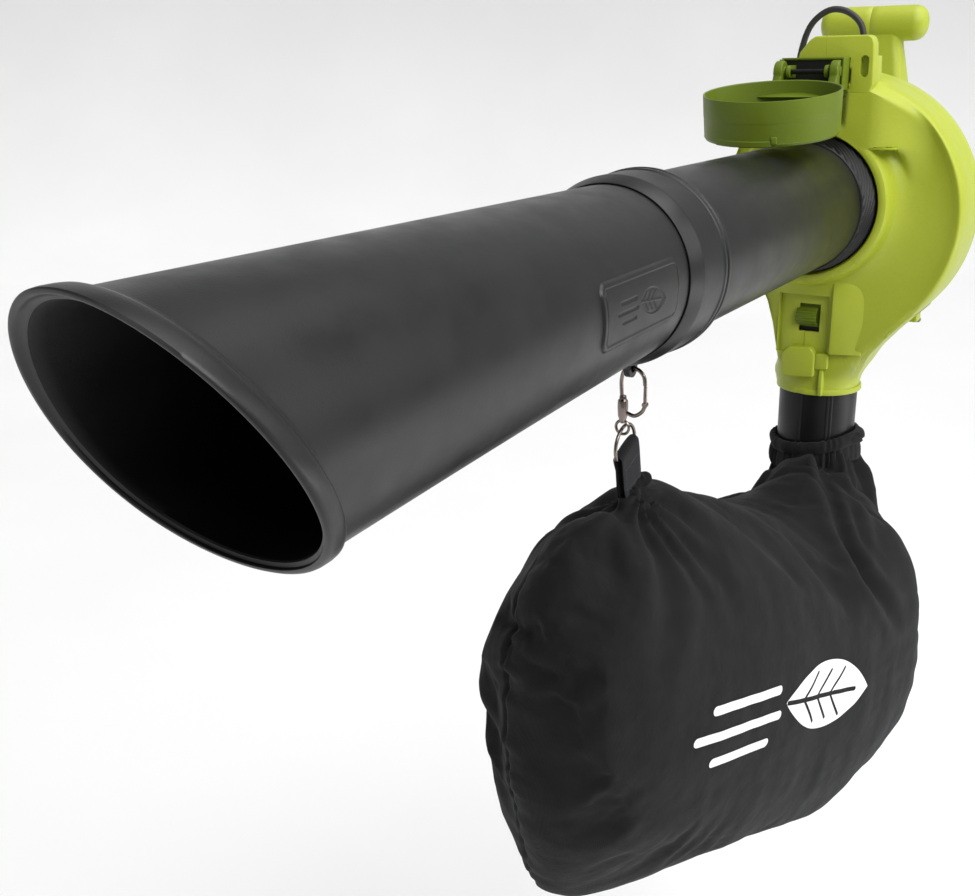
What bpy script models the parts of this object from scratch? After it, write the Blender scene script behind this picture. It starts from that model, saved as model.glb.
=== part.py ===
"""Handheld leaf vacuum mulcher: suction tubes, blower housing, motor, two handles and a collecting bag.

All shapes are drawn in the machine's own axes: X runs along the suction tube with the mouth towards -X,
Z is up and the intake axis is the line y = z = 0. Everything hangs on one empty that moves the
machine so that the centre of the front grip lies at the world origin.
"""
import math

import bmesh
import bpy
from mathutils import Vector

# ---------------------------------------------------------------- driving dimensions, metres
GAP = 0.0003
GRIP_CENTRE = Vector((0.150, 0.0, 0.182))
WALL = 0.003

TUBE_R = 0.0657
TUBE_END_X = -0.0728
JOINT_X = -0.502
COUPLING_FRONT_X = -0.536
COUPLING_BACK_X = -0.471
COUPLING_R = 0.0715

MOUTH_X = -0.9715
MOUTH_SLOPE = -0.604
MOUTH_HALF_WIDTH = 0.0747
MOUTH_HALF_HEIGHT = 0.0745
MOUTH_CENTRE_Z = -0.0055
MOUTH_EGG = 0.12
RIM_HEIGHT = 0.004

INTAKE_X = -0.065
INTAKE_R = 0.0741
SPLIT_X = 0.010
HOUSING_BACK_X = 0.062
SCROLL_R = 0.148
SCROLL_CENTRE = (-0.007, -0.014)
OUTLET_Z = -0.216
OUTLET_R = 0.0445
OUTLET_AXIS = (0.010, -0.0065)

NECK_NEAR = [(-0.114, -0.117), (-0.090, -0.142), (-0.079, -0.155), (-0.069, -0.167), (-0.062, -0.180),
             (-0.057, -0.194), (-0.0555, OUTLET_Z)]
NECK_FAR = [(0.045, OUTLET_Z), (0.049, -0.200), (0.058, -0.170), (0.070, -0.123), (0.078, -0.094)]
FAR_SIDE = [(0.092, -0.058), (0.097, -0.020), (0.096, 0.015), (0.089, 0.048), (0.074, 0.080), (0.046, 0.112)]
OUTLINE_STEP = 9.5
SCREW_PLACES = [(-0.1055, -0.1320), (0.0860, 0.0680), (0.0889, -0.0790)]
NECK_WINDOW_LOW = (-0.070, -0.026, -0.168)
NECK_WINDOW_HIGH = (-0.020, 0.030, -0.097)

MOTOR_R = 0.060
MOTOR_FRONT_X = 0.0628
MOTOR_BACK_X = 0.186
SHAFT_R = 0.004
BEARING_R = 0.011

GRIP_R = 0.0195
GRIP_HALF = 0.060
NECK_FRONT_X = 0.128
NECK_BACK_X = 0.176
HANDLE_HALF = 0.016
HANDLE_TOP = 0.083
HANDLE_BOTTOM = -0.085
HANDLE_BACK = 0.330

HINGE_X = -0.086
HINGE_Z = 0.134
CUP_CENTRE = Vector((-0.1916, 0.0, 0.1189))
CUP_R = 0.0641
CUP_DEPTH = 0.0406
CUP_TILT = math.radians(-7.3)

BAG_CENTRE = Vector((-0.2929, 0.0068, -0.4379))
BAG_HALF = Vector((0.3295, 0.1292, 0.2185))
BAG_END_POWER = 0.53
BAG_SLOPE_Z = -0.259
BAG_SLOPE_Y = -0.056
BAG_TAPER_Y = 0.43
BAG_TAPER_Z = 0.13
BAG_SKIN = 0.003
BAG_DIP_DEPTH = 0.040
BAG_DIP_X = -0.20
BAG_DIP_WIDTH = 0.11
BAG_NECK_Z = -0.2865

HOOK_X = -0.490
HOOK_WIRE_R = 0.0016
RING_Y = 0.006
RING_Z = -0.1530
EYE_R = 0.0057
EYE_DROP = 0.0500
CORD_R = 0.0035
CORD_X = 0.083
CORD_ROUTE = [(CORD_X, -0.0080, 0.1430), (CORD_X, -0.0085, 0.1580), (CORD_X, -0.0030, 0.1810),
              (CORD_X, 0.0140, 0.1950), (CORD_X, 0.0340, 0.1965), (CORD_X, 0.0520, 0.1830),
              (CORD_X, 0.0610, 0.1600), (CORD_X, 0.0650, 0.1300), (CORD_X, 0.0665, 0.0800),
              (CORD_X, 0.0670, 0.0200), (CORD_X + 0.001, 0.0670, -0.0400),
              (CORD_X + 0.002, 0.0665, -0.0900)]


# ---------------------------------------------------------------- scene and collections
for old in list(bpy.data.objects):
    bpy.data.objects.remove(old, do_unlink=True)

PARTS = bpy.data.collections.new("leaf_vacuum_mulcher")
CUTTERS = bpy.data.collections.new("cutters")
bpy.context.scene.collection.children.link(PARTS)
bpy.context.scene.collection.children.link(CUTTERS)


def empty(name, place=(0, 0, 0), parent=None):
    """An axis or datum that pieces hang on."""
    node = bpy.data.objects.new(name, None)
    node.location = place
    node.parent = parent
    PARTS.objects.link(node)
    return node


DATUM = empty("machine_datum", -GRIP_CENTRE)


def material(name, colour, roughness, metallic=0.0):
    """A Principled material with the piece's own colour and gloss."""
    mat = bpy.data.materials.new(name)
    mat.use_nodes = True
    shader = mat.node_tree.nodes["Principled BSDF"]
    shader.inputs["Base Color"].default_value = (*colour, 1.0)
    shader.inputs["Roughness"].default_value = roughness
    shader.inputs["Metallic"].default_value = metallic
    return mat


LIME = material("lime_housing", (0.48, 0.58, 0.05), 0.45)
GREEN = material("dark_green_plastic", (0.09, 0.15, 0.015), 0.45)
BLACK = material("black_tube_plastic", (0.03, 0.031, 0.034), 0.42)
FABRIC = material("black_fabric", (0.012, 0.012, 0.013), 0.9)
NICKEL = material("dark_nickel", (0.35, 0.31, 0.28), 0.3, 1.0)
STEEL = material("steel", (0.55, 0.55, 0.56), 0.35, 1.0)
ALLOY = material("cast_alloy", (0.62, 0.63, 0.65), 0.4, 1.0)
COPPER = material("copper", (0.7, 0.35, 0.18), 0.35, 1.0)
RUBBER = material("black_rubber", (0.02, 0.018, 0.017), 0.6)
GREY = material("grey_plastic", (0.10, 0.10, 0.11), 0.5)


def finish(obj, mat, parent=DATUM, place=None, sharp=35):
    """Give a piece its material, parent, place and smooth shading."""
    if mat is not None:
        obj.data.materials.clear()
        obj.data.materials.append(mat)
    obj.parent = parent
    if place is not None:
        obj.location = place
    if obj.type == "MESH":
        obj.data.shade_smooth()
        obj.data.set_sharp_from_angle(angle=math.radians(sharp))
    return obj


def add_object(name, data, cutter=False):
    """A new object in the parts or in the cutters collection."""
    obj = bpy.data.objects.new(name, data)
    (CUTTERS if cutter else PARTS).objects.link(obj)
    if cutter:
        obj.hide_render = True
        obj.display_type = "WIRE"
    return obj


def face_outwards(bm):
    """Turn the faces of a closed form outwards."""
    bmesh.ops.recalc_face_normals(bm, faces=bm.faces)
    if bm.calc_volume(signed=True) < 0:
        bmesh.ops.reverse_faces(bm, faces=bm.faces)


def mesh_from(name, bm):
    """Turn a bmesh into a mesh and free it."""
    data = bpy.data.meshes.new(name)
    bm.to_mesh(data)
    bm.free()
    return data


def box(name, size, place, mat=None, parent=DATUM, bevel=0.0, cutter=False, segments=1):
    """A box by its size and its centre."""
    bm = bmesh.new()
    bmesh.ops.create_cube(bm, size=1.0)
    bmesh.ops.scale(bm, vec=size, verts=bm.verts)
    obj = add_object(name, mesh_from(name, bm), cutter)
    finish(obj, mat, parent, place)
    if bevel:
        rounding = obj.modifiers.new("rounded_edges", "BEVEL")
        rounding.width = bevel
        rounding.segments = segments
    return obj


def box_between(name, low, high, mat=None, parent=DATUM, bevel=0.0, cutter=False, segments=1):
    """A box by its lowest and highest corners, under a parent at the machine datum."""
    low, high = Vector(low), Vector(high)
    return box(name, high - low, (low + high) / 2, mat, parent, bevel, cutter, segments)


def cylinder(name, radius, length, place, axis, mat=None, parent=DATUM, sides=24, cutter=False):
    """A cylinder by its middle, along one axis."""
    bm = bmesh.new()
    bmesh.ops.create_cone(bm, cap_ends=True, segments=sides, radius1=radius, radius2=radius, depth=length)
    obj = add_object(name, mesh_from(name, bm), cutter)
    finish(obj, mat, parent, place)
    obj.rotation_euler = AXIS_TURN[axis]
    return obj


AXIS_TURN = {"X": (0, math.pi / 2, 0), "Y": (-math.pi / 2, 0, 0), "Z": (0, 0, 0)}


def turned(name, profile, mat, axis="X", place=(0, 0, 0), parent=DATUM, steps=40, cutter=False,
           closed=True):
    """A turned piece from (station along the axis, radius) points; closed means a ring section."""
    points = [(radius, station) for station, radius in profile]
    area = sum(a[0] * b[1] - b[0] * a[1] for a, b in zip(points, points[1:] + points[:1]))
    if area > 0:
        points.reverse()
    data = bpy.data.meshes.new(name)
    edges = [(i, i + 1) for i in range(len(points) - 1)]
    if closed:
        edges.append((len(points) - 1, 0))
    data.from_pydata([(r, 0, s) for r, s in points], edges, [])
    obj = add_object(name, data, cutter)
    finish(obj, mat, parent, place)
    obj.rotation_euler = AXIS_TURN[axis]
    screw = obj.modifiers.new("turned", "SCREW")
    screw.steps = steps
    screw.render_steps = steps
    screw.use_merge_vertices = True
    screw.merge_threshold = 0.00002
    screw.use_smooth_shade = True
    return obj


def combine(obj, tool, operation="DIFFERENCE"):
    """Cut a tool out of a piece, or join it on."""
    step = obj.modifiers.new(operation.lower() + "_" + tool.name, "BOOLEAN")
    step.operation = operation
    step.object = tool
    step.solver = "EXACT"
    return obj


def grid_surface(name, rings, mat, outward, cap=False, cutter=False):
    """A skin over closed rings of equal point count; outward is a point that the skin faces away from."""
    bm = bmesh.new()
    rows = [[bm.verts.new(p) for p in ring] for ring in rings]
    count = len(rings[0])
    for first, second in zip(rows, rows[1:]):
        for i in range(count):
            j = (i + 1) % count
            bm.faces.new((first[i], first[j], second[j], second[i]))
    if cap:
        bm.faces.new(rows[0])
        bm.faces.new(rows[-1])
        face_outwards(bm)
    else:
        bmesh.ops.recalc_face_normals(bm, faces=bm.faces)
        bm.normal_update()
        centre = Vector(outward)
        facing = sum((f.calc_center_median() - centre).dot(f.normal) * f.calc_area() for f in bm.faces)
        if facing < 0:
            bmesh.ops.reverse_faces(bm, faces=bm.faces)
    obj = add_object(name, mesh_from(name, bm), cutter)
    return finish(obj, mat)


def thicken(obj, thickness=WALL):
    """Give an open skin its wall, inwards."""
    shell = obj.modifiers.new("wall", "SOLIDIFY")
    shell.thickness = thickness
    shell.offset = -1.0
    shell.use_even_offset = True
    return obj


def smooth_points(points, per_span):
    """Catmull-Rom points through a short list of route points."""
    pts = [Vector(p) for p in points]
    pts = [2 * pts[0] - pts[1]] + pts + [2 * pts[-1] - pts[-2]]
    out = []
    for a, b, c, d in zip(pts, pts[1:], pts[2:], pts[3:]):
        for k in range(per_span):
            t = k / per_span
            out.append(0.5 * (2 * b + (c - a) * t + (2 * a - 5 * b + 4 * c - d) * t * t
                              + (3 * b - a - 3 * c + d) * t ** 3))
    out.append(pts[-2])
    return out


def wire(name, points, radius, mat, parent=DATUM, resolution=2, cyclic=False, place=(0, 0, 0)):
    """A round wire along a list of points, as a curve."""
    curve = bpy.data.curves.new(name, "CURVE")
    curve.dimensions = "3D"
    curve.bevel_depth = radius
    curve.bevel_resolution = resolution
    curve.use_fill_caps = not cyclic
    spline = curve.splines.new("POLY")
    spline.points.add(len(points) - 1)
    for point, where in zip(spline.points, points):
        point.co = (*where, 1.0)
    spline.use_cyclic_u = cyclic
    return finish(add_object(name, curve), mat, parent, place)


def plate(name, outlines, half, mat, turn=(math.pi / 2, 0, 0), place=(0, 0, 0), parent=DATUM, bevel=0.0,
          cutter=False):
    """A flat piece with a polygon outline and holes, extruded by half its thickness to each side."""
    curve = bpy.data.curves.new(name, "CURVE")
    curve.dimensions = "2D"
    curve.fill_mode = "BOTH"
    curve.extrude = half
    for outline in outlines:
        spline = curve.splines.new("POLY")
        spline.points.add(len(outline) - 1)
        for point, (u, v) in zip(spline.points, outline):
            point.co = (u, v, 0.0, 1.0)
        spline.use_cyclic_u = True
    raw = add_object(name + "_outline", curve)
    obj = as_mesh(raw, name, cutter)
    finish(obj, mat, parent, place, 30)
    obj.rotation_euler = turn
    if bevel:
        rounding = obj.modifiers.new("rounded_edges", "BEVEL")
        rounding.width = bevel
        rounding.segments = 1
        rounding.limit_method = "ANGLE"
        rounding.angle_limit = math.radians(60)
    return obj


def as_mesh(curve_object, name, cutter=False):
    """Replace a curve object by a welded mesh, so that it can be cut or joined."""
    bpy.context.view_layer.update()
    depsgraph = bpy.context.evaluated_depsgraph_get()
    data = bpy.data.meshes.new_from_object(curve_object.evaluated_get(depsgraph))
    bm = bmesh.new()
    bm.from_mesh(data)
    bmesh.ops.remove_doubles(bm, verts=bm.verts, dist=0.00001)
    face_outwards(bm)
    bm.to_mesh(data)
    bm.free()
    mats = [m for m in curve_object.data.materials]
    parent = curve_object.parent
    local = curve_object.matrix_local.copy()
    bpy.data.objects.remove(curve_object, do_unlink=True)
    obj = add_object(name, data, cutter)
    obj.parent = parent
    obj.matrix_local = local
    for mat in mats:
        if mat is not None and mat.name not in data.materials:
            data.materials.append(mat)
    return obj


def arc(centre, radius, start, end, count):
    """Points on an arc in a plane, angles in degrees."""
    steps = [math.radians(start + (end - start) * k / (count - 1)) for k in range(count)]
    return [(centre[0] + radius * math.cos(a), centre[1] + radius * math.sin(a)) for a in steps]


# ---------------------------------------------------------------- suction tubes
def tube_ring(station, bulge, count=40):
    """One ring of the lower tube: round at the joint, slanted and egg-shaped at the mouth."""
    spigot = station < 0
    blend = max(station, 0.0)
    half_y = TUBE_R + (MOUTH_HALF_WIDTH - TUBE_R) * blend + bulge
    half_z = TUBE_R + (MOUTH_HALF_HEIGHT - TUBE_R) * blend + bulge
    ring = []
    for k in range(count):
        a = 2 * math.pi * k / count
        z = MOUTH_CENTRE_Z * blend + half_z * math.sin(a)
        y = half_y * math.cos(a) * (1 - MOUTH_EGG * blend * blend * math.sin(a))
        mouth_x = MOUTH_X + MOUTH_SLOPE * z
        x = JOINT_X if spigot else COUPLING_FRONT_X + (mouth_x - COUPLING_FRONT_X) * blend
        ring.append((x, y, z))
    return ring


def lower_tube():
    stations = [(-1, 0), (0, 0), (0.25, 0), (0.5, 0), (0.75, 0), (0.968, 0), (0.974, RIM_HEIGHT * 0.8),
                (0.985, RIM_HEIGHT), (1.0, RIM_HEIGHT * 0.9)]
    rings = [tube_ring(s, b) for s, b in stations]
    return thicken(grid_surface("lower_tube", rings, BLACK, (-0.75, 0, 0)))


def upper_tube():
    inner = TUBE_R - WALL
    section = [(JOINT_X + 0.001, TUBE_R), (TUBE_END_X, TUBE_R), (TUBE_END_X, inner),
               (JOINT_X + 0.001, inner)]
    return turned("upper_tube", section, BLACK)


def tube_coupling():
    inner = TUBE_R + GAP
    section = [(COUPLING_FRONT_X, inner), (COUPLING_FRONT_X, inner + 0.0012),
               (COUPLING_FRONT_X + 0.009, COUPLING_R),
               (COUPLING_BACK_X - 0.008, COUPLING_R), (COUPLING_BACK_X - 0.006, COUPLING_R + 0.0012),
               (COUPLING_BACK_X - 0.002, COUPLING_R + 0.0012), (COUPLING_BACK_X, COUPLING_R - 0.001),
               (COUPLING_BACK_X, inner)]
    return turned("tube_coupling", section, BLACK)


def strap_eye():
    """Lug under the coupling with the hole that the snap hook clips into."""
    top = -(COUPLING_R + GAP + 0.0001)
    outline = [(-0.518, top), (-0.480, top)] + arc((HOOK_X, -0.0805), 0.0075, 0, -180, 9)
    hole = arc((HOOK_X, -0.0805), 0.0038, 0, 330, 12)
    return plate("strap_eye", [outline, hole], 0.0025, BLACK)


def intake_flange():
    section = [(TUBE_END_X + GAP, TUBE_R + 0.0003), (INTAKE_X - 0.001, INTAKE_R - 0.0010),
               (INTAKE_X + 0.020, INTAKE_R - 0.0010), (INTAKE_X + 0.020, 0.0640),
               (TUBE_END_X + GAP, 0.0640)]
    return turned("intake_flange", section, BLACK)


# ---------------------------------------------------------------- blower housing
def scroll_radius(angle):
    """Outer radius of the housing about the intake axis, in the direction angle (degrees, 90 is up)."""
    a = math.radians(angle)
    along = SCROLL_CENTRE[0] * math.cos(a) + SCROLL_CENTRE[1] * math.sin(a)
    offset = SCROLL_CENTRE[0] ** 2 + SCROLL_CENTRE[1] ** 2
    return along + math.sqrt(SCROLL_R ** 2 - offset + along ** 2)


def housing_outline():
    """Angles and radii of the housing's outer edge about the intake axis, once round."""
    points = [(math.cos(math.radians(a)) * scroll_radius(a), math.sin(math.radians(a)) * scroll_radius(a))
              for a in range(90, 226, 9)]
    points += NECK_NEAR + NECK_FAR + FAR_SIDE
    outline = []
    for (y, z), (next_y, next_z) in zip(points, points[1:] + points[:1]):
        turn = (math.degrees(math.atan2(next_z, next_y) - math.atan2(z, y))) % 360
        parts = max(1, math.ceil(turn / OUTLINE_STEP))
        for k in range(parts):
            share = k / parts
            across, up = y + (next_y - y) * share, z + (next_z - z) * share
            outline.append((math.degrees(math.atan2(up, across)) % 360, math.hypot(across, up)))
    return outline


def housing_ring(lip, reach, x):
    """A ring at a share of the way from the intake lip to the outer edge; lip alone is a circle."""
    ring = []
    for angle, radius in housing_outline():
        a = math.radians(angle)
        r = lip + reach * (radius - lip)
        ring.append((x, r * math.cos(a), r * math.sin(a)))
    return ring


def outlet_bore():
    length = 0.080
    return cylinder("outlet_bore_cutter", OUTLET_R, length, (*OUTLET_AXIS, OUTLET_Z + length / 2 - 0.02),
                    "Z",
                    sides=32, cutter=True)


def volute_front_shell():
    rings = [housing_ring(INTAKE_R, 0, -0.045), housing_ring(INTAKE_R, 0, INTAKE_X + 0.0015),
             housing_ring(INTAKE_R + 0.0025, 0, INTAKE_X), housing_ring(0.083, 0, INTAKE_X + 0.0015),
             housing_ring(0.089, 0, -0.0455), housing_ring(0.090, 0.35, -0.038),
             housing_ring(0.090, 0.75, -0.0385), housing_ring(0.090, 0.92, -0.0415),
             housing_ring(0.090, 0.985, -0.036), housing_ring(0.090, 0.998, -0.026),
             housing_ring(0.090, 1.0, SPLIT_X - GAP / 2)]
    shell = thicken(grid_surface("volute_front_shell", rings, LIME, (0.05, 0, -0.02)))
    combine(shell, outlet_bore())
    combine(shell, box_between("panel_window_cutter", NECK_WINDOW_LOW, NECK_WINDOW_HIGH, cutter=True))
    return shell


def volute_rear_shell():
    rings = [housing_ring(MOTOR_R - 0.002, 0, HOUSING_BACK_X - 0.006),
             housing_ring(MOTOR_R - 0.002, 0, HOUSING_BACK_X),
             housing_ring(0.080, 0.10, HOUSING_BACK_X), housing_ring(0.080, 0.80, HOUSING_BACK_X - 0.001),
             housing_ring(0.080, 0.96, HOUSING_BACK_X - 0.007),
             housing_ring(0.080, 1.0, HOUSING_BACK_X - 0.018),
             housing_ring(0.080, 1.0, SPLIT_X + GAP / 2)]
    shell = thicken(grid_surface("volute_rear_shell", rings, LIME, (-0.05, 0, -0.02)))
    combine(shell, outlet_bore())
    for index, (y, z) in enumerate(SCREW_PLACES):
        boss = cylinder(f"boss_tool_{index}", 0.0075, 0.020, (SPLIT_X + 0.0105, y, z), "X", sides=12,
                        cutter=True)
        combine(shell, boss, "UNION")
    return shell


def machine_screw(name, place, axis, direction, parent=DATUM):
    """Pan-head screw whose head stands on a face, with the head on the side that direction names."""
    section = [(0, 0), (0, 0.0034), (direction * 0.0012, 0.0034), (direction * 0.0022, 0.0024),
               (direction * 0.0024, 0)]
    return turned(name, section, STEEL, axis, place, parent, steps=12, closed=False)


def volute_screws():
    for index, (y, z) in enumerate(SCREW_PLACES):
        machine_screw(f"volute_screw_{index + 1}", (SPLIT_X + 0.0205 + GAP, y, z), "X", 1)


def latch_panel():
    """Recessed plate in the outlet neck with the window that the slider looks out of."""
    panel = box_between("latch_panel", (-0.033, -0.0257, -0.1677), (-0.030, 0.0297, -0.0973), LIME)
    window = box_between("latch_window_cutter", (-0.05, -0.0105, -0.1445), (-0.02, 0.0125, -0.1155),
                         cutter=True)
    return combine(panel, window)


# ---------------------------------------------------------------- hinge tower, cover and its pin
def hinge_tower():
    top = 0.168
    tower = box_between("hinge_tower", (-0.065, -0.062, 0.148), (0.000, 0.017, top), LIME, bevel=0.004,
                        segments=2)
    back = box_between("tower_back_tool", (-0.030, -0.061, 0.1352), (-0.001, 0.029, 0.1500), cutter=True)
    side = box_between("tower_side_tool", (-0.0645, -0.0615, 0.070), (-0.0462, -0.0365, 0.1500),
                       cutter=True)
    link = box_between("tower_link_tool", (-0.0645, -0.0610, 0.1352), (-0.020, -0.0370, 0.1500),
                       cutter=True)
    for tool in (back, side, link):
        combine(tower, tool, "UNION")
    for index, y in enumerate((-0.0195, 0.0195)):
        knuckle = box_between(f"tower_knuckle_tool_{index}",
                              (HINGE_X - 0.0065, y - 0.002, HINGE_Z - 0.0055),
                              (-0.050, y + 0.002, HINGE_Z + 0.006), cutter=True)
        arm = box_between(f"tower_arm_tool_{index}", (-0.060, y - 0.002, 0.1354),
                          (-0.020, y + 0.002, HINGE_Z + 0.006),
                          cutter=True)
        combine(tower, knuckle, "UNION")
        combine(tower, arm, "UNION")
    combine(tower, cylinder("tower_pin_cutter", 0.0029, 0.060, (HINGE_X, 0, HINGE_Z), "Y", sides=16,
                            cutter=True))
    combine(tower, cylinder("tower_lip_cutter", 0.0905, 0.10, (-0.05, 0, 0), "X", sides=64, cutter=True))
    hole = box_between("tower_slot_cutter", (-0.08, -0.0545, 0.128), (-0.050, -0.0455, 0.149), bevel=0.003,
                       segments=2, cutter=True)
    return combine(tower, hole)


def hinge_pin():
    return cylinder("hinge_pin", 0.0025, 0.0640, (HINGE_X, 0, HINGE_Z), "Y", STEEL, sides=16)


def intake_cover():
    """Cup-shaped cover, hinged at the back, lying open on the suction tube."""
    hinge = empty("cover_hinge", (HINGE_X, 0, HINGE_Z), DATUM)
    inner = CUP_R - 0.0022
    floor = -CUP_DEPTH
    section = [(floor + 0.017, 0), (floor + 0.015, 0.018), (floor + 0.009, 0.032), (floor + 0.003, 0.040),
               (floor + 0.003, inner - 0.0008), (0, inner), (0, CUP_R), (floor + 0.0015, CUP_R - 0.0008),
               (floor, CUP_R - 0.0022), (floor, 0.040), (floor + 0.006, 0.032), (floor + 0.012, 0.018),
               (floor + 0.014, 0)]
    cup = turned("intake_cover", section, GREEN, "Z", CUP_CENTRE - hinge.location, hinge, steps=40,
                 closed=False)
    cup.rotation_euler = (0, CUP_TILT, 0)
    pieces = [box_between("cover_floor_tool", (-0.133, -0.0335, 0.1125), (-0.0695, 0.0335, 0.1155),
                          cutter=True)]
    for index, y in enumerate((-0.0285, 0.0285)):
        pieces.append(box_between(f"cover_ear_tool_{index}", (HINGE_X - 0.011, y - 0.005, 0.1130),
                                  (HINGE_X + 0.011, y + 0.005, HINGE_Z + 0.011), bevel=0.005, segments=2,
                                  cutter=True))
    for piece in pieces:
        combine(cup, piece, "UNION")
    bore = cylinder("cover_pin_cutter", 0.0028, 0.080, (HINGE_X, 0, HINGE_Z), "Y", sides=16, cutter=True)
    combine(cup, bore)
    return combine(cup, box_between("cover_inside_cutter", (-0.1335, -0.040, 0.105),
                                    (-0.1312, 0.040, 0.114),
                                    cutter=True))


def interlock_switch():
    """Safety switch behind the tower, pressed when a tube or the cover is in place."""
    return box_between("interlock_switch", (-0.018, -0.010, 0.1085), (-0.002, 0.010, 0.1240), GREY,
                       bevel=0.001)


# ---------------------------------------------------------------- latch for the outlet adapter
def latch_slider():
    """Ribbed thumb piece in the window, on a plate that runs behind the panel."""
    slide = empty("latch_slide", (-0.0300, 0.001, -0.1262), DATUM)
    ribs = 9
    face = [(0.0040, 0.0090)]
    for k in range(2 * ribs + 1):
        a = math.radians(90 + 180 * k / (2 * ribs))
        r = 0.0098 if k % 2 else 0.0090
        face.append((r * math.cos(a) * 1.15, r * math.sin(a)))
    face.append((0.0040, -0.0090))
    knob = plate("latch_slider", [face], 0.0090, GREEN, place=(0, 0, 0), parent=slide)
    base = box_between("latch_base_tool", (-0.0296, -0.0175, -0.1385), (-0.0262, 0.0195, -0.1120),
                       cutter=True)
    return combine(knob, base, "UNION")


def coil(name, radius, wire_r, turns, low, high, place, axis, mat, parent=DATUM):
    """A compression spring between two stations on an axis."""
    points = []
    for k in range(turns * 10 + 1):
        a = 2 * math.pi * k / 10
        along = low + (high - low) * k / (turns * 10)
        flat = {"Z": (radius * math.cos(a), radius * math.sin(a), along),
                "X": (along, radius * math.cos(a), radius * math.sin(a))}[axis]
        points.append(flat)
    return wire(name, points, wire_r, mat, parent, resolution=0, place=place)


def latch_spring():
    return coil("latch_spring", 0.0028, 0.0004, 5, -0.1580, -0.1395, (-0.0250, 0.001, 0), "Z", STEEL)


def outlet_adapter():
    """Black tube in the outlet that the bag's neck is pulled over, with its key rib."""
    outer = OUTLET_R - 0.0008
    section = [(-0.192, outer), (-0.298, outer - 0.0004), (-0.298, outer - 0.003), (-0.192, outer - 0.0030)]
    tube = turned("outlet_adapter", section, BLACK, "Z", (*OUTLET_AXIS, 0), steps=32)
    x, y = OUTLET_AXIS
    rib = box_between("adapter_rib_tool", (x - outer - 0.003, y - 0.003, -0.2440),
                      (x - outer + 0.001, y + 0.003,
                      OUTLET_Z - GAP), cutter=True)
    return combine(tube, rib, "UNION")


# ---------------------------------------------------------------- impeller and motor
def rotor_axis():
    return empty("rotor_axis", (0, 0, 0), DATUM)


def impeller(axis):
    """Metal mulching impeller: a back plate and a hub with eight curved blades."""
    section = [(0.044, SHAFT_R + 0.0002), (0.044, 0.088), (0.0415, 0.088), (0.0415, 0.018), (0.012, 0.014),
               (-0.004, 0.012), (-0.004, SHAFT_R + 0.0002)]
    wheel = turned("impeller", section, ALLOY, parent=axis, steps=32)
    for k in range(8):
        a = 2 * math.pi * k / 8
        bm = bmesh.new()
        inner, outer, half = 0.010, 0.086, 0.0012
        rows = []
        for share in (0, 0.5, 1):
            r = inner + (outer - inner) * share
            lean = 0.45 * share * share
            front = 0.000 + 0.006 * share
            mid = Vector((0, r * math.cos(a + lean), r * math.sin(a + lean)))
            side = Vector((0, -math.sin(a + lean * 1.7), math.cos(a + lean * 1.7))) * half
            rows.append([bm.verts.new(mid - side + Vector((front, 0, 0))),
                         bm.verts.new(mid + side + Vector((front, 0, 0))),
                         bm.verts.new(mid + side + Vector((0.0425, 0, 0))),
                         bm.verts.new(mid - side + Vector((0.0425, 0, 0)))])
        for first, second in zip(rows, rows[1:]):
            for i in range(4):
                j = (i + 1) % 4
                bm.faces.new((first[i], first[j], second[j], second[i]))
        bm.faces.new(rows[0])
        bm.faces.new(rows[-1])
        face_outwards(bm)
        blade = add_object(f"blade_tool_{k}", mesh_from("blade", bm), cutter=True)
        finish(blade, None, axis)
        combine(wheel, blade, "UNION")
    return wheel


def rotor_pieces(axis):
    turned("motor_shaft", [(-0.0150, 0), (-0.0150, SHAFT_R), (0.1945, SHAFT_R), (0.1945, 0)], STEEL,
           parent=axis, steps=20, closed=False)
    bore = SHAFT_R + 0.0010
    nut = [(-0.0108, bore), (-0.0108, 0.0075), (-0.0044, 0.0075), (-0.0044, bore)]
    turned("impeller_nut", nut, STEEL, parent=axis, steps=6)
    core = [(0.0950, SHAFT_R + GAP), (0.0950, 0.0120), (0.1000, 0.0205), (0.1340, 0.0205), (0.1380, 0.0120),
            (0.1380, SHAFT_R + GAP)]
    turned("armature", core, COPPER, parent=axis, steps=24)
    turned("commutator", [(0.1440, SHAFT_R + GAP), (0.1440, 0.0110), (0.1580, 0.0110),
                          (0.1580, SHAFT_R + GAP)],
           COPPER, parent=axis, steps=24)


def motor_fixed_pieces():
    for name, x in (("front_bearing", 0.0650), ("rear_bearing", 0.1770)):
        inner = SHAFT_R + GAP
        turned(name, [(x, inner), (x, BEARING_R), (x + 0.007, BEARING_R), (x + 0.007, inner)], STEEL,
               steps=24)
    turned("stator", [(0.0920, 0.0212), (0.0920, 0.0380), (0.1380, 0.0380), (0.1380, 0.0212)], STEEL,
           steps=24)
    for name, y in (("brush_left", 0.0173), ("brush_right", -0.0173)):
        box(name, (0.006, 0.0120, 0.0065), (0.1510, y, 0), COPPER)
    housing = [(MOTOR_FRONT_X, BEARING_R + GAP), (MOTOR_FRONT_X, MOTOR_R), (MOTOR_BACK_X, MOTOR_R),
               (MOTOR_BACK_X, MOTOR_R - WALL), (MOTOR_FRONT_X + WALL, MOTOR_R - WALL),
               (MOTOR_FRONT_X + WALL, 0.016), (MOTOR_FRONT_X + 0.009, 0.016),
               (MOTOR_FRONT_X + 0.009, BEARING_R + GAP)]
    turned("motor_housing", housing, LIME, steps=40)


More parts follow.
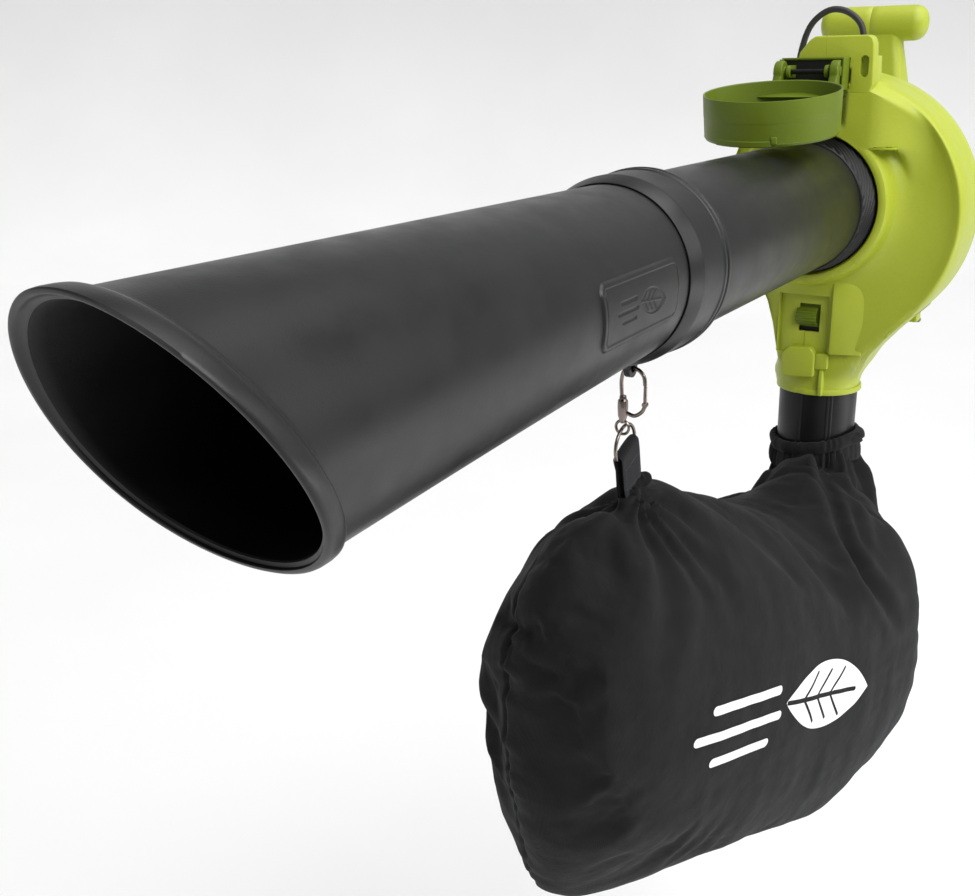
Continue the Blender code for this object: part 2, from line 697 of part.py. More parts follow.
def motor_rear_cap():
    """Domed cap with cooling slots and the rear bearing's seat."""
    x = MOTOR_BACK_X + GAP
    section = [(x + 0.0255, 0), (x + 0.0245, 0.0340), (x + 0.0190, 0.0480), (x + 0.0105, 0.0552),
               (x, MOTOR_R - WALL), (x, MOTOR_R), (x + 0.012, 0.0585), (x + 0.022, 0.0500),
               (x + 0.0275, 0.0350),
               (x + 0.0285, 0)]
    cap = turned("motor_rear_cap", section, LIME, steps=40, closed=False)
    bm = bmesh.new()
    for k in range(10):
        a = 2 * math.pi * (k + 0.5) / 10
        made = bmesh.ops.create_cube(bm, size=1.0)["verts"]
        bmesh.ops.scale(bm, vec=(0.030, 0.020, 0.005), verts=made)
        bmesh.ops.translate(bm, vec=(x + 0.022, 0.030, 0), verts=made)
        for vert in made:
            _, y, z = vert.co
            vert.co.y = y * math.cos(a) - z * math.sin(a)
            vert.co.z = y * math.sin(a) + z * math.cos(a)
    slots = add_object("cooling_slot_cutter", mesh_from("cooling_slots", bm), cutter=True)
    finish(slots, None)
    return combine(cap, slots)


# ---------------------------------------------------------------- front T grip
def grip_half(name, side):
    """One half of the T grip: half of the bar and of its neck, split at the middle plane."""
    end, r = GRIP_HALF, GRIP_R
    x, _, z = GRIP_CENTRE
    section = [(side * GAP / 2, 0), (side * GAP / 2, r), (side * (end - 0.012), r),
               (side * (end - 0.004), r - 0.004),
               (side * end, r - 0.011), (side * end, 0)]
    bar = turned(name, section, LIME, "Y", (x, 0, z), steps=24, closed=False)
    levels = [(0.030, 0.046, NECK_FRONT_X - 0.010, NECK_BACK_X + 0.014),
              (0.110, 0.042, NECK_FRONT_X, NECK_BACK_X),
              (0.176, 0.030, 0.1360, 0.1640)]

    def prism(tag, inset, skip, drop):
        rings = []
        for height, width, front, back in levels:
            near = side * (GAP / 2 + skip)
            far = side * (width - inset)
            rings.append([(front + inset, near, height - drop), (back - inset, near, height - drop),
                          (back - inset, far, height - drop), (front + inset, far, height - drop)])
        return grid_surface(tag, rings, None, (0, 0, 0), cap=True, cutter=True)

    combine(bar, prism(name + "_neck_tool", 0, 0, 0), "UNION")
    hollow = prism(name + "_hollow_cutter", WALL + 0.001, -0.002, 0.006)
    combine(bar, hollow)
    seat = cylinder(name + "_seat_cutter", MOTOR_R + GAP, 0.16, (0.14, 0, 0), "X", sides=64, cutter=True)
    return combine(bar, seat)


# ---------------------------------------------------------------- rear main handle
def handle_outline(inset=0.0):
    """D-shaped outline of the main handle in the X-Z plane, round the motor's back."""
    outer = [(0.196 + inset, HANDLE_TOP - inset), (HANDLE_BACK - 0.020, HANDLE_TOP - inset)]
    outer += arc((HANDLE_BACK - 0.026, HANDLE_TOP - 0.026), 0.026 - inset, 75, 0, 5)
    outer += arc((HANDLE_BACK - 0.026, HANDLE_BOTTOM + 0.026), 0.026 - inset, 0, -90, 6)
    outer += [(0.130 + inset, HANDLE_BOTTOM + inset), (0.130 + inset, -0.0608 - inset)]
    outer += [(0.2060, -0.0608 - inset)]
    outer += arc((0.282, -0.044), 0.0168 + inset, -90, 0, 5)
    outer += arc((0.282, 0.044), 0.0168 + inset, 0, 90, 5)
    outer += [(0.196 + inset, 0.0608 + inset)]
    return outer


def main_handle_half(name, side):
    half = (HANDLE_HALF - GAP / 2) / 2
    centre = side * (GAP / 2 + half)
    body = plate(name, [handle_outline()], half, LIME, place=(0, centre, 0), bevel=0.005)
    pocket = box_between(name + "_pocket_cutter", (0.2900, -0.0085, -0.022), (0.3180, 0.0085, 0.060),
                         cutter=True)
    combine(body, pocket)
    combine(body, box_between(name + "_slot_cutter", (0.2850, -0.0065, 0.004), (0.3000, 0.0065, 0.052),
                              cutter=True))
    if side > 0:
        bore = cylinder(name + "_button_cutter", 0.0058, 0.020, (0.3050, 0.012, 0.030), "Y", sides=20,
                        cutter=True)
        combine(body, bore)
    return body


def trigger():
    """Finger trigger in the front face of the main grip, on a pivot at its top."""
    pivot = empty("trigger_pivot", (0.3010, 0, 0.0480), DATUM)
    face = [(0.0020, 0.0028), (-0.0060, 0.0020), (-0.0125, -0.0050), (-0.0155, -0.0180), (-0.0135, -0.0300),
            (-0.0150, -0.0400), (-0.0080, -0.0405), (-0.0045, -0.0300), (0.0020, -0.0040)]
    return plate("trigger", [face], 0.0055, BLACK, parent=pivot, bevel=0.001)


def switch_pieces():
    box_between("switch_module", (0.3035, -0.0075, -0.0200), (0.3165, 0.0075, 0.0145), GREY, bevel=0.001)
    coil("trigger_spring", 0.0022, 0.00035, 4, 0.2958, 0.3030, (0, 0, 0.0100), "X", STEEL)
    slide = empty("lock_button_slide", (0.3050, HANDLE_HALF + 0.0025, 0.0300), DATUM)
    turned("lock_button", [(-0.0080, 0), (-0.0080, 0.0052), (-0.0005, 0.0052), (0.0005, 0.0042),
                           (0.0005, 0)],
           BLACK, "Y", (0, 0, 0), slide, steps=20, closed=False)
    dial_axis = empty("speed_dial_axis", (0.2400, 0, HANDLE_TOP + GAP), DATUM)
    knurl = [(0.0110 if k % 2 else 0.0100, 15.0 * k) for k in range(24)]
    face = [(r * math.cos(math.radians(a)), r * math.sin(math.radians(a))) for r, a in knurl]
    plate("speed_dial", [face], 0.0035, BLACK, turn=(0, 0, 0), place=(0, 0, 0.0035), parent=dial_axis)


def handle_screws():
    for index, (x, z) in enumerate(((0.2200, 0.0720), (0.2200, -0.0730), (0.3060, -0.0500))):
        machine_screw(f"handle_screw_{index + 1}", (x, -HANDLE_HALF - GAP, z), "Y", -1)


# ---------------------------------------------------------------- cord and plug
def cord_pieces():
    gland = [(0.0606, 0), (0.0606, 0.0095), (0.1050, 0.0080), (0.1050, 0)]
    post = turned("cord_gland", gland, LIME, "Z", (CORD_X, -0.0080, 0), steps=20, closed=False)
    combine(post, cylinder("gland_seat_cutter", MOTOR_R + GAP, 0.06, (0.083, 0, 0), "X", sides=64,
                           cutter=True))
    relief = [(0.1053, 0), (0.1053, 0.0068), (0.1100, 0.0068), (0.1425, 0.0045), (0.1425, 0)]
    turned("strain_relief", relief, RUBBER, "Z", (CORD_X, -0.0080, 0), steps=16, closed=False)
    wire("power_cord", smooth_points(CORD_ROUTE, 5), CORD_R, RUBBER)
    x, y, z = CORD_ROUTE[-1]
    body = [(z - 0.0003, 0), (z - 0.0003, 0.0050), (z - 0.0150, 0.0065), (z - 0.0200, 0.0120),
            (z - 0.0420, 0.0125),
            (z - 0.0440, 0.0115), (z - 0.0440, 0)]
    turned("plug_body", body, RUBBER, "Z", (x, y, 0), steps=20, closed=False)
    for name, offset in (("plug_blade_left", 0.0063), ("plug_blade_right", -0.0063)):
        low = (x - 0.0032, y + offset - 0.00075, z - 0.0620)
        high = (x + 0.0032, y + offset + 0.00075, z - 0.0443)
        box_between(name, low, high, STEEL)


# ---------------------------------------------------------------- bag, ring, webbing and snap hook
def bag_point(unit, shrink):
    """Map a point of the unit sphere (X is the bag's length) onto the filled bag."""
    length = math.asin(max(-1.0, min(1.0, unit.x)))
    round_angle = math.atan2(unit.z, unit.y)
    power = BAG_END_POWER
    ahead = math.copysign(abs(math.sin(length)) ** power, unit.x)
    girth = abs(math.cos(length)) ** power
    half = BAG_HALF - Vector((shrink, shrink, shrink))
    x = half.x * ahead
    y = half.y * (1 + BAG_TAPER_Y * ahead) * girth * math.cos(round_angle)
    z = half.z * (1 + BAG_TAPER_Z * ahead) * girth * math.sin(round_angle)
    point = BAG_CENTRE + Vector((x, y + BAG_SLOPE_Y * x, z + BAG_SLOPE_Z * x))
    if unit.z > 0:
        share = math.sin(round_angle) ** 2
        point.z -= BAG_DIP_DEPTH * share * math.exp(-((point.x - BAG_DIP_X) / BAG_DIP_WIDTH) ** 2)
    return point


def bag_form(name, shrink, cutter):
    bm = bmesh.new()
    bmesh.ops.create_uvsphere(bm, u_segments=24, v_segments=14, radius=1.0)
    for vert in bm.verts:
        unit = Vector((vert.co.z, vert.co.y, vert.co.x)).normalized()
        vert.co = bag_point(unit, shrink)
    face_outwards(bm)
    return finish(add_object(name, mesh_from(name, bm), cutter), FABRIC)


def bag_neck(name, shrink, top):
    """Cone that leads from the sleeve on the outlet down into the bag."""
    x, y = OUTLET_AXIS
    rings = []
    for z, half_x, half_y in ((top, 0.0490, 0.0490), (BAG_NECK_Z - 0.010, 0.0490, 0.0490),
                              (-0.345, 0.0500, 0.0800), (-0.400, 0.0420, 0.1050)):
        ring = [(x - 0.3 * (0.049 - half_x) + (half_x - shrink) * math.cos(2 * math.pi * k / 24),
                 y + (half_y - shrink) * math.sin(2 * math.pi * k / 24), z) for k in range(24)]
        rings.append(ring)
    return grid_surface(name, rings, None, (0, 0, 0), cap=True, cutter=True)


def bag():
    outer = bag_form("bag", 0.0, False)
    combine(outer, bag_neck("bag_neck_tool", 0.0, BAG_NECK_Z), "UNION")
    combine(outer, bag_form("bag_inside_cutter", BAG_SKIN, True))
    return combine(outer, bag_neck("bag_throat_cutter", BAG_SKIN + 0.0004, BAG_NECK_Z + 0.010))


def bag_sleeve():
    """Elastic hem of the bag round the outlet adapter."""
    inner = OUTLET_R - 0.0002
    section = [(-0.2450, inner), (-0.2445, 0.0475), (-0.2500, 0.0498), (-0.2580, 0.0480), (-0.2680, 0.0500),
               (-0.2800, 0.0505), (BAG_NECK_Z + GAP, 0.0490), (BAG_NECK_Z + GAP, inner)]
    return turned("bag_sleeve", section, FABRIC, "Z", (*OUTLET_AXIS, 0), steps=32)


def webbing_tab():
    """Folded webbing loop sewn to the bag, holding the ring's straight bar."""
    outline = [(-0.0042, 0.0042), (0.0042, 0.0042), (0.0042, -0.0200), (0.0030, -0.0375),
               (-0.0030, -0.0375),
               (-0.0042, -0.0200)]
    hole = [(-0.0026, 0.0026), (0.0026, 0.0026), (0.0026, -0.0030), (-0.0026, -0.0030)]
    return plate("webbing_tab", [outline, hole], 0.0150, FABRIC, turn=(math.pi / 2, 0, math.pi / 2),
                 place=(HOOK_X, RING_Y, RING_Z))


def d_ring():
    pivot = empty("ring_pivot", (HOOK_X, RING_Y, RING_Z), DATUM)
    half = 0.0178
    loop = [(-half, 0, 0)] + [(half * math.cos(a), 0, 0.004 + 0.0165 * math.sin(a))
                              for a in (math.pi * (1 - k / 10) for k in range(11))] + [(half, 0, 0)]
    return wire("d_ring", loop, 0.0015, NICKEL, pivot, resolution=1, cyclic=True)


def snap_hook():
    """Spring-gate hook: wire bow through the strap eye, barrel at the foot of its spine, eye for the ring."""
    swing = empty("hook_swing", (HOOK_X, 0, -0.0805), DATUM)
    bow = [(0, -0.0130, -0.0130), (0, -0.0118, -0.0060), (0, -0.0070, -0.0010), (0, 0.0000, 0.0),
           (0, 0.0055, -0.0035), (0, 0.0075, -0.0110), (0, 0.0072, -0.0200), (0, 0.0065, -0.0275)]
    body = as_mesh(wire("hook_bow", smooth_points(bow, 2), HOOK_WIRE_R, NICKEL, swing, resolution=1),
                   "snap_hook")
    finish(body, NICKEL, swing)
    barrel = turned("hook_barrel_tool", [(-0.0240, 0), (-0.0240, 0.0028), (-0.0300, 0.0042),
                                         (-0.0400, 0.0042),
                                         (-0.0455, 0.0026), (-0.0455, 0)], None, "Z", (0, RING_Y, 0), swing,
                    steps=14, cutter=True, closed=False)
    combine(body, barrel, "UNION")
    arm = [(0, 0.0040, -0.0370), (0, -0.0040, -0.0390), (0, -0.0105, -0.0350), (0, -0.0132, -0.0300)]
    lower = as_mesh(wire("hook_arm", smooth_points(arm, 2), HOOK_WIRE_R, NICKEL, swing, resolution=1),
                    "hook_arm_tool", True)
    combine(body, lower, "UNION")
    ring = [(0, EYE_R * math.sin(a),
             EYE_R * math.cos(a)) for a in (2 * math.pi * k / 12 for k in range(12))]
    eye = as_mesh(wire("hook_eye", ring, 0.0012, NICKEL, swing, resolution=1, cyclic=True), "hook_eye_tool",
                  True)
    eye.location = (0, RING_Y, -EYE_DROP)
    combine(body, eye, "UNION")
    gate = [(0, 0, 0.0150), (0, 0, 0.0)]
    pivot = empty("gate_pivot", (0, -0.0133, -0.0286), swing)
    wire("hook_gate", gate, 0.0015, NICKEL, pivot, resolution=1)


# ---------------------------------------------------------------- build
lower_tube()
upper_tube()
tube_coupling()
strap_eye()
intake_flange()
volute_front_shell()
volute_rear_shell()
volute_screws()
latch_panel()
hinge_tower()
hinge_pin()
intake_cover()
interlock_switch()
latch_slider()
latch_spring()
outlet_adapter()
ROTOR = rotor_axis()
impeller(ROTOR)
rotor_pieces(ROTOR)
motor_fixed_pieces()
motor_rear_cap()
grip_half("front_grip_left", 1)
grip_half("front_grip_right", -1)
main_handle_half("main_handle_left", 1)
main_handle_half("main_handle_right", -1)
trigger()
switch_pieces()
handle_screws()
cord_pieces()
bag()
bag_sleeve()
webbing_tab()
d_ring()
snap_hook()
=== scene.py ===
"""Looks of the leaf vacuum mulcher: finer shells, fabric, metal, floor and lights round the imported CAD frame.

Pieces are drawn in the machine's own axes, as in the CAD source: X runs along the suction tube with its mouth
towards -X, Z is up, and the intake axis is y = z = 0. place() moves a finished piece into the row frame.
"""
import math

import bmesh
import bpy
import numpy as np
from mathutils import Matrix, Vector
from mathutils.bvhtree import BVHTree


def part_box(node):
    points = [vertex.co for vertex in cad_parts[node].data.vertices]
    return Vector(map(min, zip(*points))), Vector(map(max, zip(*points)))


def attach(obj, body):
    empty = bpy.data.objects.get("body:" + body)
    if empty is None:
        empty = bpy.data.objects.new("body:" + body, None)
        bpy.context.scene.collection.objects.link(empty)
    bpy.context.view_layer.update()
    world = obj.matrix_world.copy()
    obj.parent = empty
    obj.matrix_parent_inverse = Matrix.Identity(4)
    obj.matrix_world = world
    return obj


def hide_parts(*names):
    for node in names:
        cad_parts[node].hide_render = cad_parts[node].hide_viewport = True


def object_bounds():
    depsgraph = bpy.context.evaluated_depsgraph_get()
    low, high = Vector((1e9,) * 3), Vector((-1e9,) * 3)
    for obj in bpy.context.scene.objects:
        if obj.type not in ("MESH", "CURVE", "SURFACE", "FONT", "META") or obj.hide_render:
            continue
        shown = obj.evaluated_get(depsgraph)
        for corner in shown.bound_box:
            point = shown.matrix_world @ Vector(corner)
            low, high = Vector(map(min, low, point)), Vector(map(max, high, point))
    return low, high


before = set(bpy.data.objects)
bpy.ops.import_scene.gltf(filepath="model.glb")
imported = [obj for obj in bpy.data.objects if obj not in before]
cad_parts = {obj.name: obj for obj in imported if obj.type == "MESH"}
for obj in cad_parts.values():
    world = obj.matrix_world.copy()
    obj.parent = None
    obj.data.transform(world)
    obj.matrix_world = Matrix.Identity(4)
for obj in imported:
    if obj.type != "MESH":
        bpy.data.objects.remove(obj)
CAD_LOW, CAD_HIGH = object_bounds()


def mm(value):
    """Millimetres to metres, through lists and tuples."""
    if isinstance(value, (list, tuple)):
        return type(value)(mm(part) for part in value)
    return round(value / 1000, 7)


# ---------------------------------------------------------------- driving dimensions in metres, as in the CAD
TUBE_R = 0.0657
TUBE_END_X = -0.0728
JOINT_X = -0.502
COUPLING_FRONT_X = -0.536
COUPLING_BACK_X = -0.471
COUPLING_R = 0.0715

MOUTH_X = -0.9715
MOUTH_SLOPE = -0.604
MOUTH_HALF_WIDTH = 0.0747
MOUTH_HALF_HEIGHT = 0.0745
MOUTH_CENTRE_Z = -0.0055
MOUTH_EGG = 0.12

SPLIT_X = 0.01
HOUSING_BACK_X = 0.062
SCROLL_R = 0.148
SCROLL_CENTRE = (-0.007, -0.014)
OUTLET_Z = -0.216
OUTLET_R = 0.0445
OUTLET_AXIS = (0.01, -0.0065)
NECK_NEAR = [(-0.114, -0.117), (-0.09, -0.142), (-0.079, -0.155), (-0.069, -0.167), (-0.062, -0.18),
             (-0.057, -0.194), (-0.0555, OUTLET_Z)]
NECK_FAR = [(0.045, OUTLET_Z), (0.049, -0.2), (0.058, -0.17), (0.07, -0.123), (0.078, -0.094)]
FAR_SIDE = mm([(92, -58), (97, -20), (96, 15), (89, 48), (74, 80), (46, 112)])

GRIP_R = 0.0195
GRIP_HALF = 0.06
GRIP_CENTRE = Vector((0.15, 0.0, 0.182))

HINGE_X = -0.086
HINGE_Z = 0.134
CUP_CENTRE = Vector((-0.1916, 0.0, 0.1189))
CUP_R = 0.0641
CUP_DEPTH = 0.0406
CUP_TILT = math.radians(-7.3)

BAG_CENTRE = Vector((-0.2929, 0.0068, -0.4379))
BAG_HALF = Vector((0.3295, 0.1292, 0.2185))
BAG_END_POWER = 0.53
BAG_SLOPE_Z = -0.259
BAG_SLOPE_Y = -0.056
BAG_TAPER_Y = 0.43
BAG_TAPER_Z = 0.13
BAG_DIP_DEPTH = 0.04
BAG_DIP_X = -0.2
BAG_DIP_WIDTH = 0.11
BAG_NECK_Z = -0.2865

HOOK_X = -0.49
RING_Y = 0.006
RING_Z = -0.153

CORD_R = 0.0035
CORD_X = 0.083
CORD_ROUTE = [(CORD_X, -0.008, 0.143), (CORD_X, -0.0085, 0.158), (CORD_X, -0.003, 0.181),
              (CORD_X, 0.014, 0.195), (CORD_X, 0.034, 0.1965), (CORD_X, 0.052, 0.183),
              (CORD_X, 0.061, 0.16), (CORD_X, 0.065, 0.13), (CORD_X, 0.0665, 0.08),
              (CORD_X, 0.067, 0.02), (CORD_X + 0.001, 0.067, -0.04), (CORD_X + 0.002, 0.0665, -0.09)]


# ---------------------------------------------------------------- sizes and places that only the looks use
SEAL_FRONT_X = -0.096
SEAL_SLANT = 950
TOWER_FACE_X = -0.0645
FAR_WALL = mm(((-216, 31), (-210.2, 31.8), (-178.5, 37.2), (-136.8, 45), (-111.4, 52.6), (-90, 64),
               (-65, 86), (-40, 120), (0, 200)))
LATCH_X = -0.032
LATCH_Z = -0.1262

BAG_SHRINK = 0.006
BAG_VOXEL = 0.0058
BAG_MOVE_CAP = 0.014
BAG_TOP_Z = -0.28
BAG_DROPS = mm([((-100, 85, -305), 58, 32), ((-70, -12, -290), 48, -11), ((-300, 10, -235), 75, 7),
                ((-375, 12, -215), 50, 3)])
BAG_FILLS = mm([((-490, 105, -575), 100, (-12, 22, -24)), ((-515, 45, -565), 75, (-14, 12, -16)),
                ((-400, 30, -600), 110, (0, 0, -14)), ((-425, 4, -208), 42, (0, 0, 11)),
                ((-552, 82, -245), 60, (10, -9, -6)), ((-475, 52, -206), 35, (4, -12, -10)),
                ((-85, -140, -385), 65, (12, -11, 0)), ((-95, -135, -635), 80, (-7, 8, 9)),
                ((-78, 48, -307), 40, (8, -6, -20)), ((10, 66, -318), 42, (0, -10, -20))])
TAB_FOOT_X = -0.472
BAG_CREASES = mm([
    ([(-36, -30, -290), (-80, -52, -292), (-150, -90, -312), (-190, -122, -352), (-165, -142, -400),
      (-139, -148, -430)], 12.5, 9, 4.5),
    ([(-20, -50, -288), (-75, -70, -295), (-140, -105, -325), (-165, -125, -350)], 8.5, 6.8, 3),
    ([(10, -60, -300), (0, -95, -345), (-20, -130, -400)], 5.5, 8, 2),
    ([(-508, -3, -192), (-535, -6, -203), (-552, -16, -218), (-556, -32, -240)], 7.5, 7.5, 3),
    ([(-482, -8, -196), (-500, -30, -228), (-530, -44, -280), (-540, -52, -340)], 3, 15, 2),
    ([(-450, -4, -200), (-452, -45, -235), (-450, -70, -300)], 2.2, 16, 1),
    ([(-612, 50, -285), (-624, 34, -305), (-627, 16, -345), (-620, 0, -388)], 10, 8, 5),
    ([(-600, -20, -430), (-590, -34, -475), (-560, -45, -520)], 5, 11, 2.5),
    ([(-520, -40, -545), (-470, -55, -560), (-400, -60, -575)], 4, 9, 2)])
PRINT_SCALE = 3.9
PRINT_LENGTH = 0.33
PRINT_HEIGHT = 0.1
PRINT_STEP = 0.001
PRINT_TURN = math.radians(-12)
PRINT_CENTRE = Vector((-0.355, -0.4, -0.418))

RING_PIVOT_Z = RING_Z + 0.019
RING_LEAN = math.radians(22)
KNUCKLE_Y = -0.0133
HOOK_WIRE_R = 0.0016
EYE_R = 0.0057
EYE_DROP = 0.05

CAMERA_AT = (-1.45063, -0.38025, -0.02897)
CAMERA_ANGLES = (71.4579, 1.086, -57.9226)
CAMERA_LENS = 42.915
FLOOR_Z = CAD_LOW.z - 0.45
WORLD_STRENGTH = 0.34

TUBE_STEPS = 224
PLASTIC_SPREAD = 0.07
CLOTH_ROUGHNESS = 0.85
NOISE_ROUGHNESS = 0.55
CLOTH_FRAMES = 20

TUBE_LOW, TUBE_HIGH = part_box("upper_tube")
ORIGIN = Vector((TUBE_HIGH.x - TUBE_END_X, (TUBE_LOW.y + TUBE_HIGH.y) / 2, (TUBE_LOW.z + TUBE_HIGH.z) / 2))


def new_object(name, data):
    """An object of this data, in the scene."""
    obj = bpy.data.objects.new(name, data)
    bpy.context.scene.collection.objects.link(obj)
    return obj


# ---------------------------------------------------------------- camera
def make_camera():
    data = bpy.data.cameras.new("camera")
    data.sensor_width = 36.0
    data.lens = CAMERA_LENS
    camera = new_object("camera", data)
    camera.location = CAMERA_AT
    camera.rotation_euler = [math.radians(a) for a in CAMERA_ANGLES]
    bpy.context.scene.camera = camera
    data.clip_end = 60.0


make_camera()


# ---------------------------------------------------------------- helpers for curves and meshes
def smooth_points(points, per_span):
    """Catmull-Rom points through a short list of route points."""
    pts = [Vector(p) for p in points]
    pts = [2 * pts[0] - pts[1]] + pts + [2 * pts[-1] - pts[-2]]
    out = []
    for a, b, c, d in zip(pts, pts[1:], pts[2:], pts[3:]):
        for k in range(per_span):
            t = k / per_span
            out.append(0.5 * (2 * b + (c - a) * t + (2 * a - 5 * b + 4 * c - d) * t * t
                              + (3 * b - a - 3 * c + d) * t ** 3))
    out.append(pts[-2])
    return out


def smooth_profile(points, per_span):
    """The same for a profile of (station, radius) points."""
    return [(p.x, p.y) for p in smooth_points([(a, b, 0) for a, b in points], per_span)]


def full_turn(steps):
    """Even angles round a circle."""
    return [2 * math.pi * k / steps for k in range(steps)]


def smoothstep(low, high, value):
    t = min(1.0, max(0.0, (value - low) / (high - low)))
    return t * t * (3 - 2 * t)


def arc(centre, radius, start, end, count):
    """Points on an arc in a plane, angles in degrees."""
    steps = [math.radians(start + (end - start) * k / (count - 1)) for k in range(count)]
    return [(centre[0] + radius * math.cos(a), centre[1] + radius * math.sin(a)) for a in steps]


def object_from(name, bm, outward=True):
    """Weld a bmesh, face it outwards and make it an object."""
    bmesh.ops.remove_doubles(bm, verts=bm.verts, dist=0.000002)
    if outward:
        bmesh.ops.recalc_face_normals(bm, faces=bm.faces)
    return mesh_object(name, bm)


def mesh_object(name, bm):
    data = bpy.data.meshes.new(name)
    bm.to_mesh(data)
    bm.free()
    return new_object(name, data)


def loft(name, rings, closed=True, caps=True):
    """A skin over rings of equal point count."""
    bm = bmesh.new()
    rows = [[bm.verts.new(p) for p in ring] for ring in rings]
    count = len(rings[0])
    for first, second in zip(rows, rows[1:]):
        for i in range(count if closed else count - 1):
            j = (i + 1) % count
            bm.faces.new((first[i], first[j], second[j], second[i]))
    if caps and closed:
        bm.faces.new(rows[0])
        bm.faces.new(rows[-1])
    return object_from(name, bm)


def axis_point(axis, station, across, up):
    return {"X": (station, across, up), "Y": (across, station, up), "Z": (across, up, station)}[axis]


def turned(name, profile, axis="X", centre=(0, 0, 0), steps=128, closed=True, relief=None):
    """A turned piece from (station, radius) points; relief(angle, station, radius) may add to the radius."""
    rings = []
    for station, radius in profile:
        ring = []
        for a in full_turn(steps):
            r = radius + (relief(a, station, radius) if relief else 0.0)
            ring.append(Vector(axis_point(axis, station, r * math.cos(a), r * math.sin(a))) + Vector(centre))
        rings.append(ring)
    if closed:
        rings.append(rings[0])
    return loft(name, rings, caps=False)


def eased(profile, radius):
    """Round the corners of a closed profile by short arcs."""
    count = 3
    out = []
    size = len(profile)
    for i, point in enumerate(profile):
        here = Vector(point)
        before, after = Vector(profile[i - 1]), Vector(profile[(i + 1) % size])
        back, ahead = before - here, after - here
        reach = min(radius, back.length * 0.45, ahead.length * 0.45)
        start, end = here + back.normalized() * reach, here + ahead.normalized() * reach
        for k in range(count + 1):
            t = k / count
            out.append(tuple(start * (1 - t) ** 2 + here * 2 * t * (1 - t) + end * t * t))
    return out


def prism(name, outline, low, high, axis="X", bevel=0.0, segments=3):
    """An outline in the plane across an axis, drawn out between two stations, with rounded edges."""
    bm = bmesh.new()
    ends = [[bm.verts.new(axis_point(axis, station, u, v)) for u, v in outline] for station in (low, high)]
    for i in range(len(outline)):
        j = (i + 1) % len(outline)
        bm.faces.new((ends[0][i], ends[0][j], ends[1][j], ends[1][i]))
    for end in ends:
        bm.faces.new(end)
    obj = object_from(name, bm)
    if bevel:
        round_edges(obj, bevel, segments)
    return obj


def round_edges(obj, width, segments=3, angle=32):
    step = obj.modifiers.new("rounded_edges", "BEVEL")
    step.width = width
    step.segments = segments
    step.limit_method = "ANGLE"
    step.angle_limit = math.radians(angle)
    step.harden_normals = False
    return obj


def block(name, low, high, bevel):
    """A box with rounded edges by its lowest and highest corners."""
    outline = [(low[1], low[2]), (high[1], low[2]), (high[1], high[2]), (low[1], high[2])]
    return prism(name, outline, low[0], high[0], "X", bevel)


def boxes(*rows):
    """Rounded boxes from rows of name, low corner, high corner and bevel, in millimetres."""
    return [block(name, mm(low), mm(high), mm(bevel)) for name, low, high, bevel in rows]


def prisms(*rows):
    """Prisms from rows of name, outline, low, high, axis, bevel and segments, in millimetres."""
    return [prism(name, mm(outline), mm(low), mm(high), axis, mm(bevel), segments)
            for name, outline, low, high, axis, bevel, segments in rows]


def sweep(name, points, radii, sides=16, closed=False):
    """A round tube along points; radii is one radius or one for each point. Closed is for a flat loop."""
    pts = [Vector(p) for p in points]
    if not hasattr(radii, "__len__"):
        radii = [radii] * len(pts)
    along = (pts[1] - pts[0]).normalized()
    side = along.cross(pts[2] - pts[1]) if closed else along.orthogonal()
    side = side.normalized() if side.length > 0 else along.orthogonal().normalized()
    size = len(pts)
    rings = []
    for i, here in enumerate(pts):
        if closed:
            ahead = (pts[(i + 1) % size] - pts[i - 1]).normalized()
        else:
            ahead = (pts[min(i + 1, size - 1)] - pts[max(i - 1, 0)]).normalized()
        side = (side - ahead * side.dot(ahead)).normalized()
        up = ahead.cross(side)
        rings.append([here + (side * math.cos(a) + up * math.sin(a)) * radii[i]
                      for a in full_turn(sides)])
    if closed:
        rings.append(rings[0])
    return loft(name, rings, caps=not closed)


def join(name, parts):
    """Join several objects, their modifiers applied, into one piece."""
    bpy.context.view_layer.update()
    depsgraph = bpy.context.evaluated_depsgraph_get()
    bm = bmesh.new()
    for part in parts:
        data = bpy.data.meshes.new_from_object(part.evaluated_get(depsgraph))
        data.transform(part.matrix_world)
        bm.from_mesh(data)
        bpy.data.meshes.remove(data)
    for part in parts:
        bpy.data.objects.remove(part, do_unlink=True)
    return mesh_object(name, bm)


def cut(obj, tool):
    """Cut a tool out of a piece, and drop the tool."""
    step = obj.modifiers.new("cut", "BOOLEAN")
    step.operation = "DIFFERENCE"
    step.object = tool
    step.solver = "EXACT"
    bpy.context.view_layer.update()
    depsgraph = bpy.context.evaluated_depsgraph_get()
    data = bpy.data.meshes.new_from_object(obj.evaluated_get(depsgraph))
    obj.modifiers.clear()
    obj.data = data
    bpy.data.objects.remove(tool, do_unlink=True)
    return obj


def place(obj, mat, body="machine", nodes=(), slot=None, sharp=38):
    """Finish a piece: material, smooth shading, place in the row frame, body, and the nodes it stands for."""
    obj.data.materials.clear()
    obj.data.materials.append(mat)
    if obj.type == "MESH":
        obj.data.shade_smooth()
        obj.data.set_sharp_from_angle(angle=math.radians(sharp))
    obj.location = obj.location + ORIGIN
    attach(obj, body)
    if nodes:
        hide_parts(*nodes)
    return obj


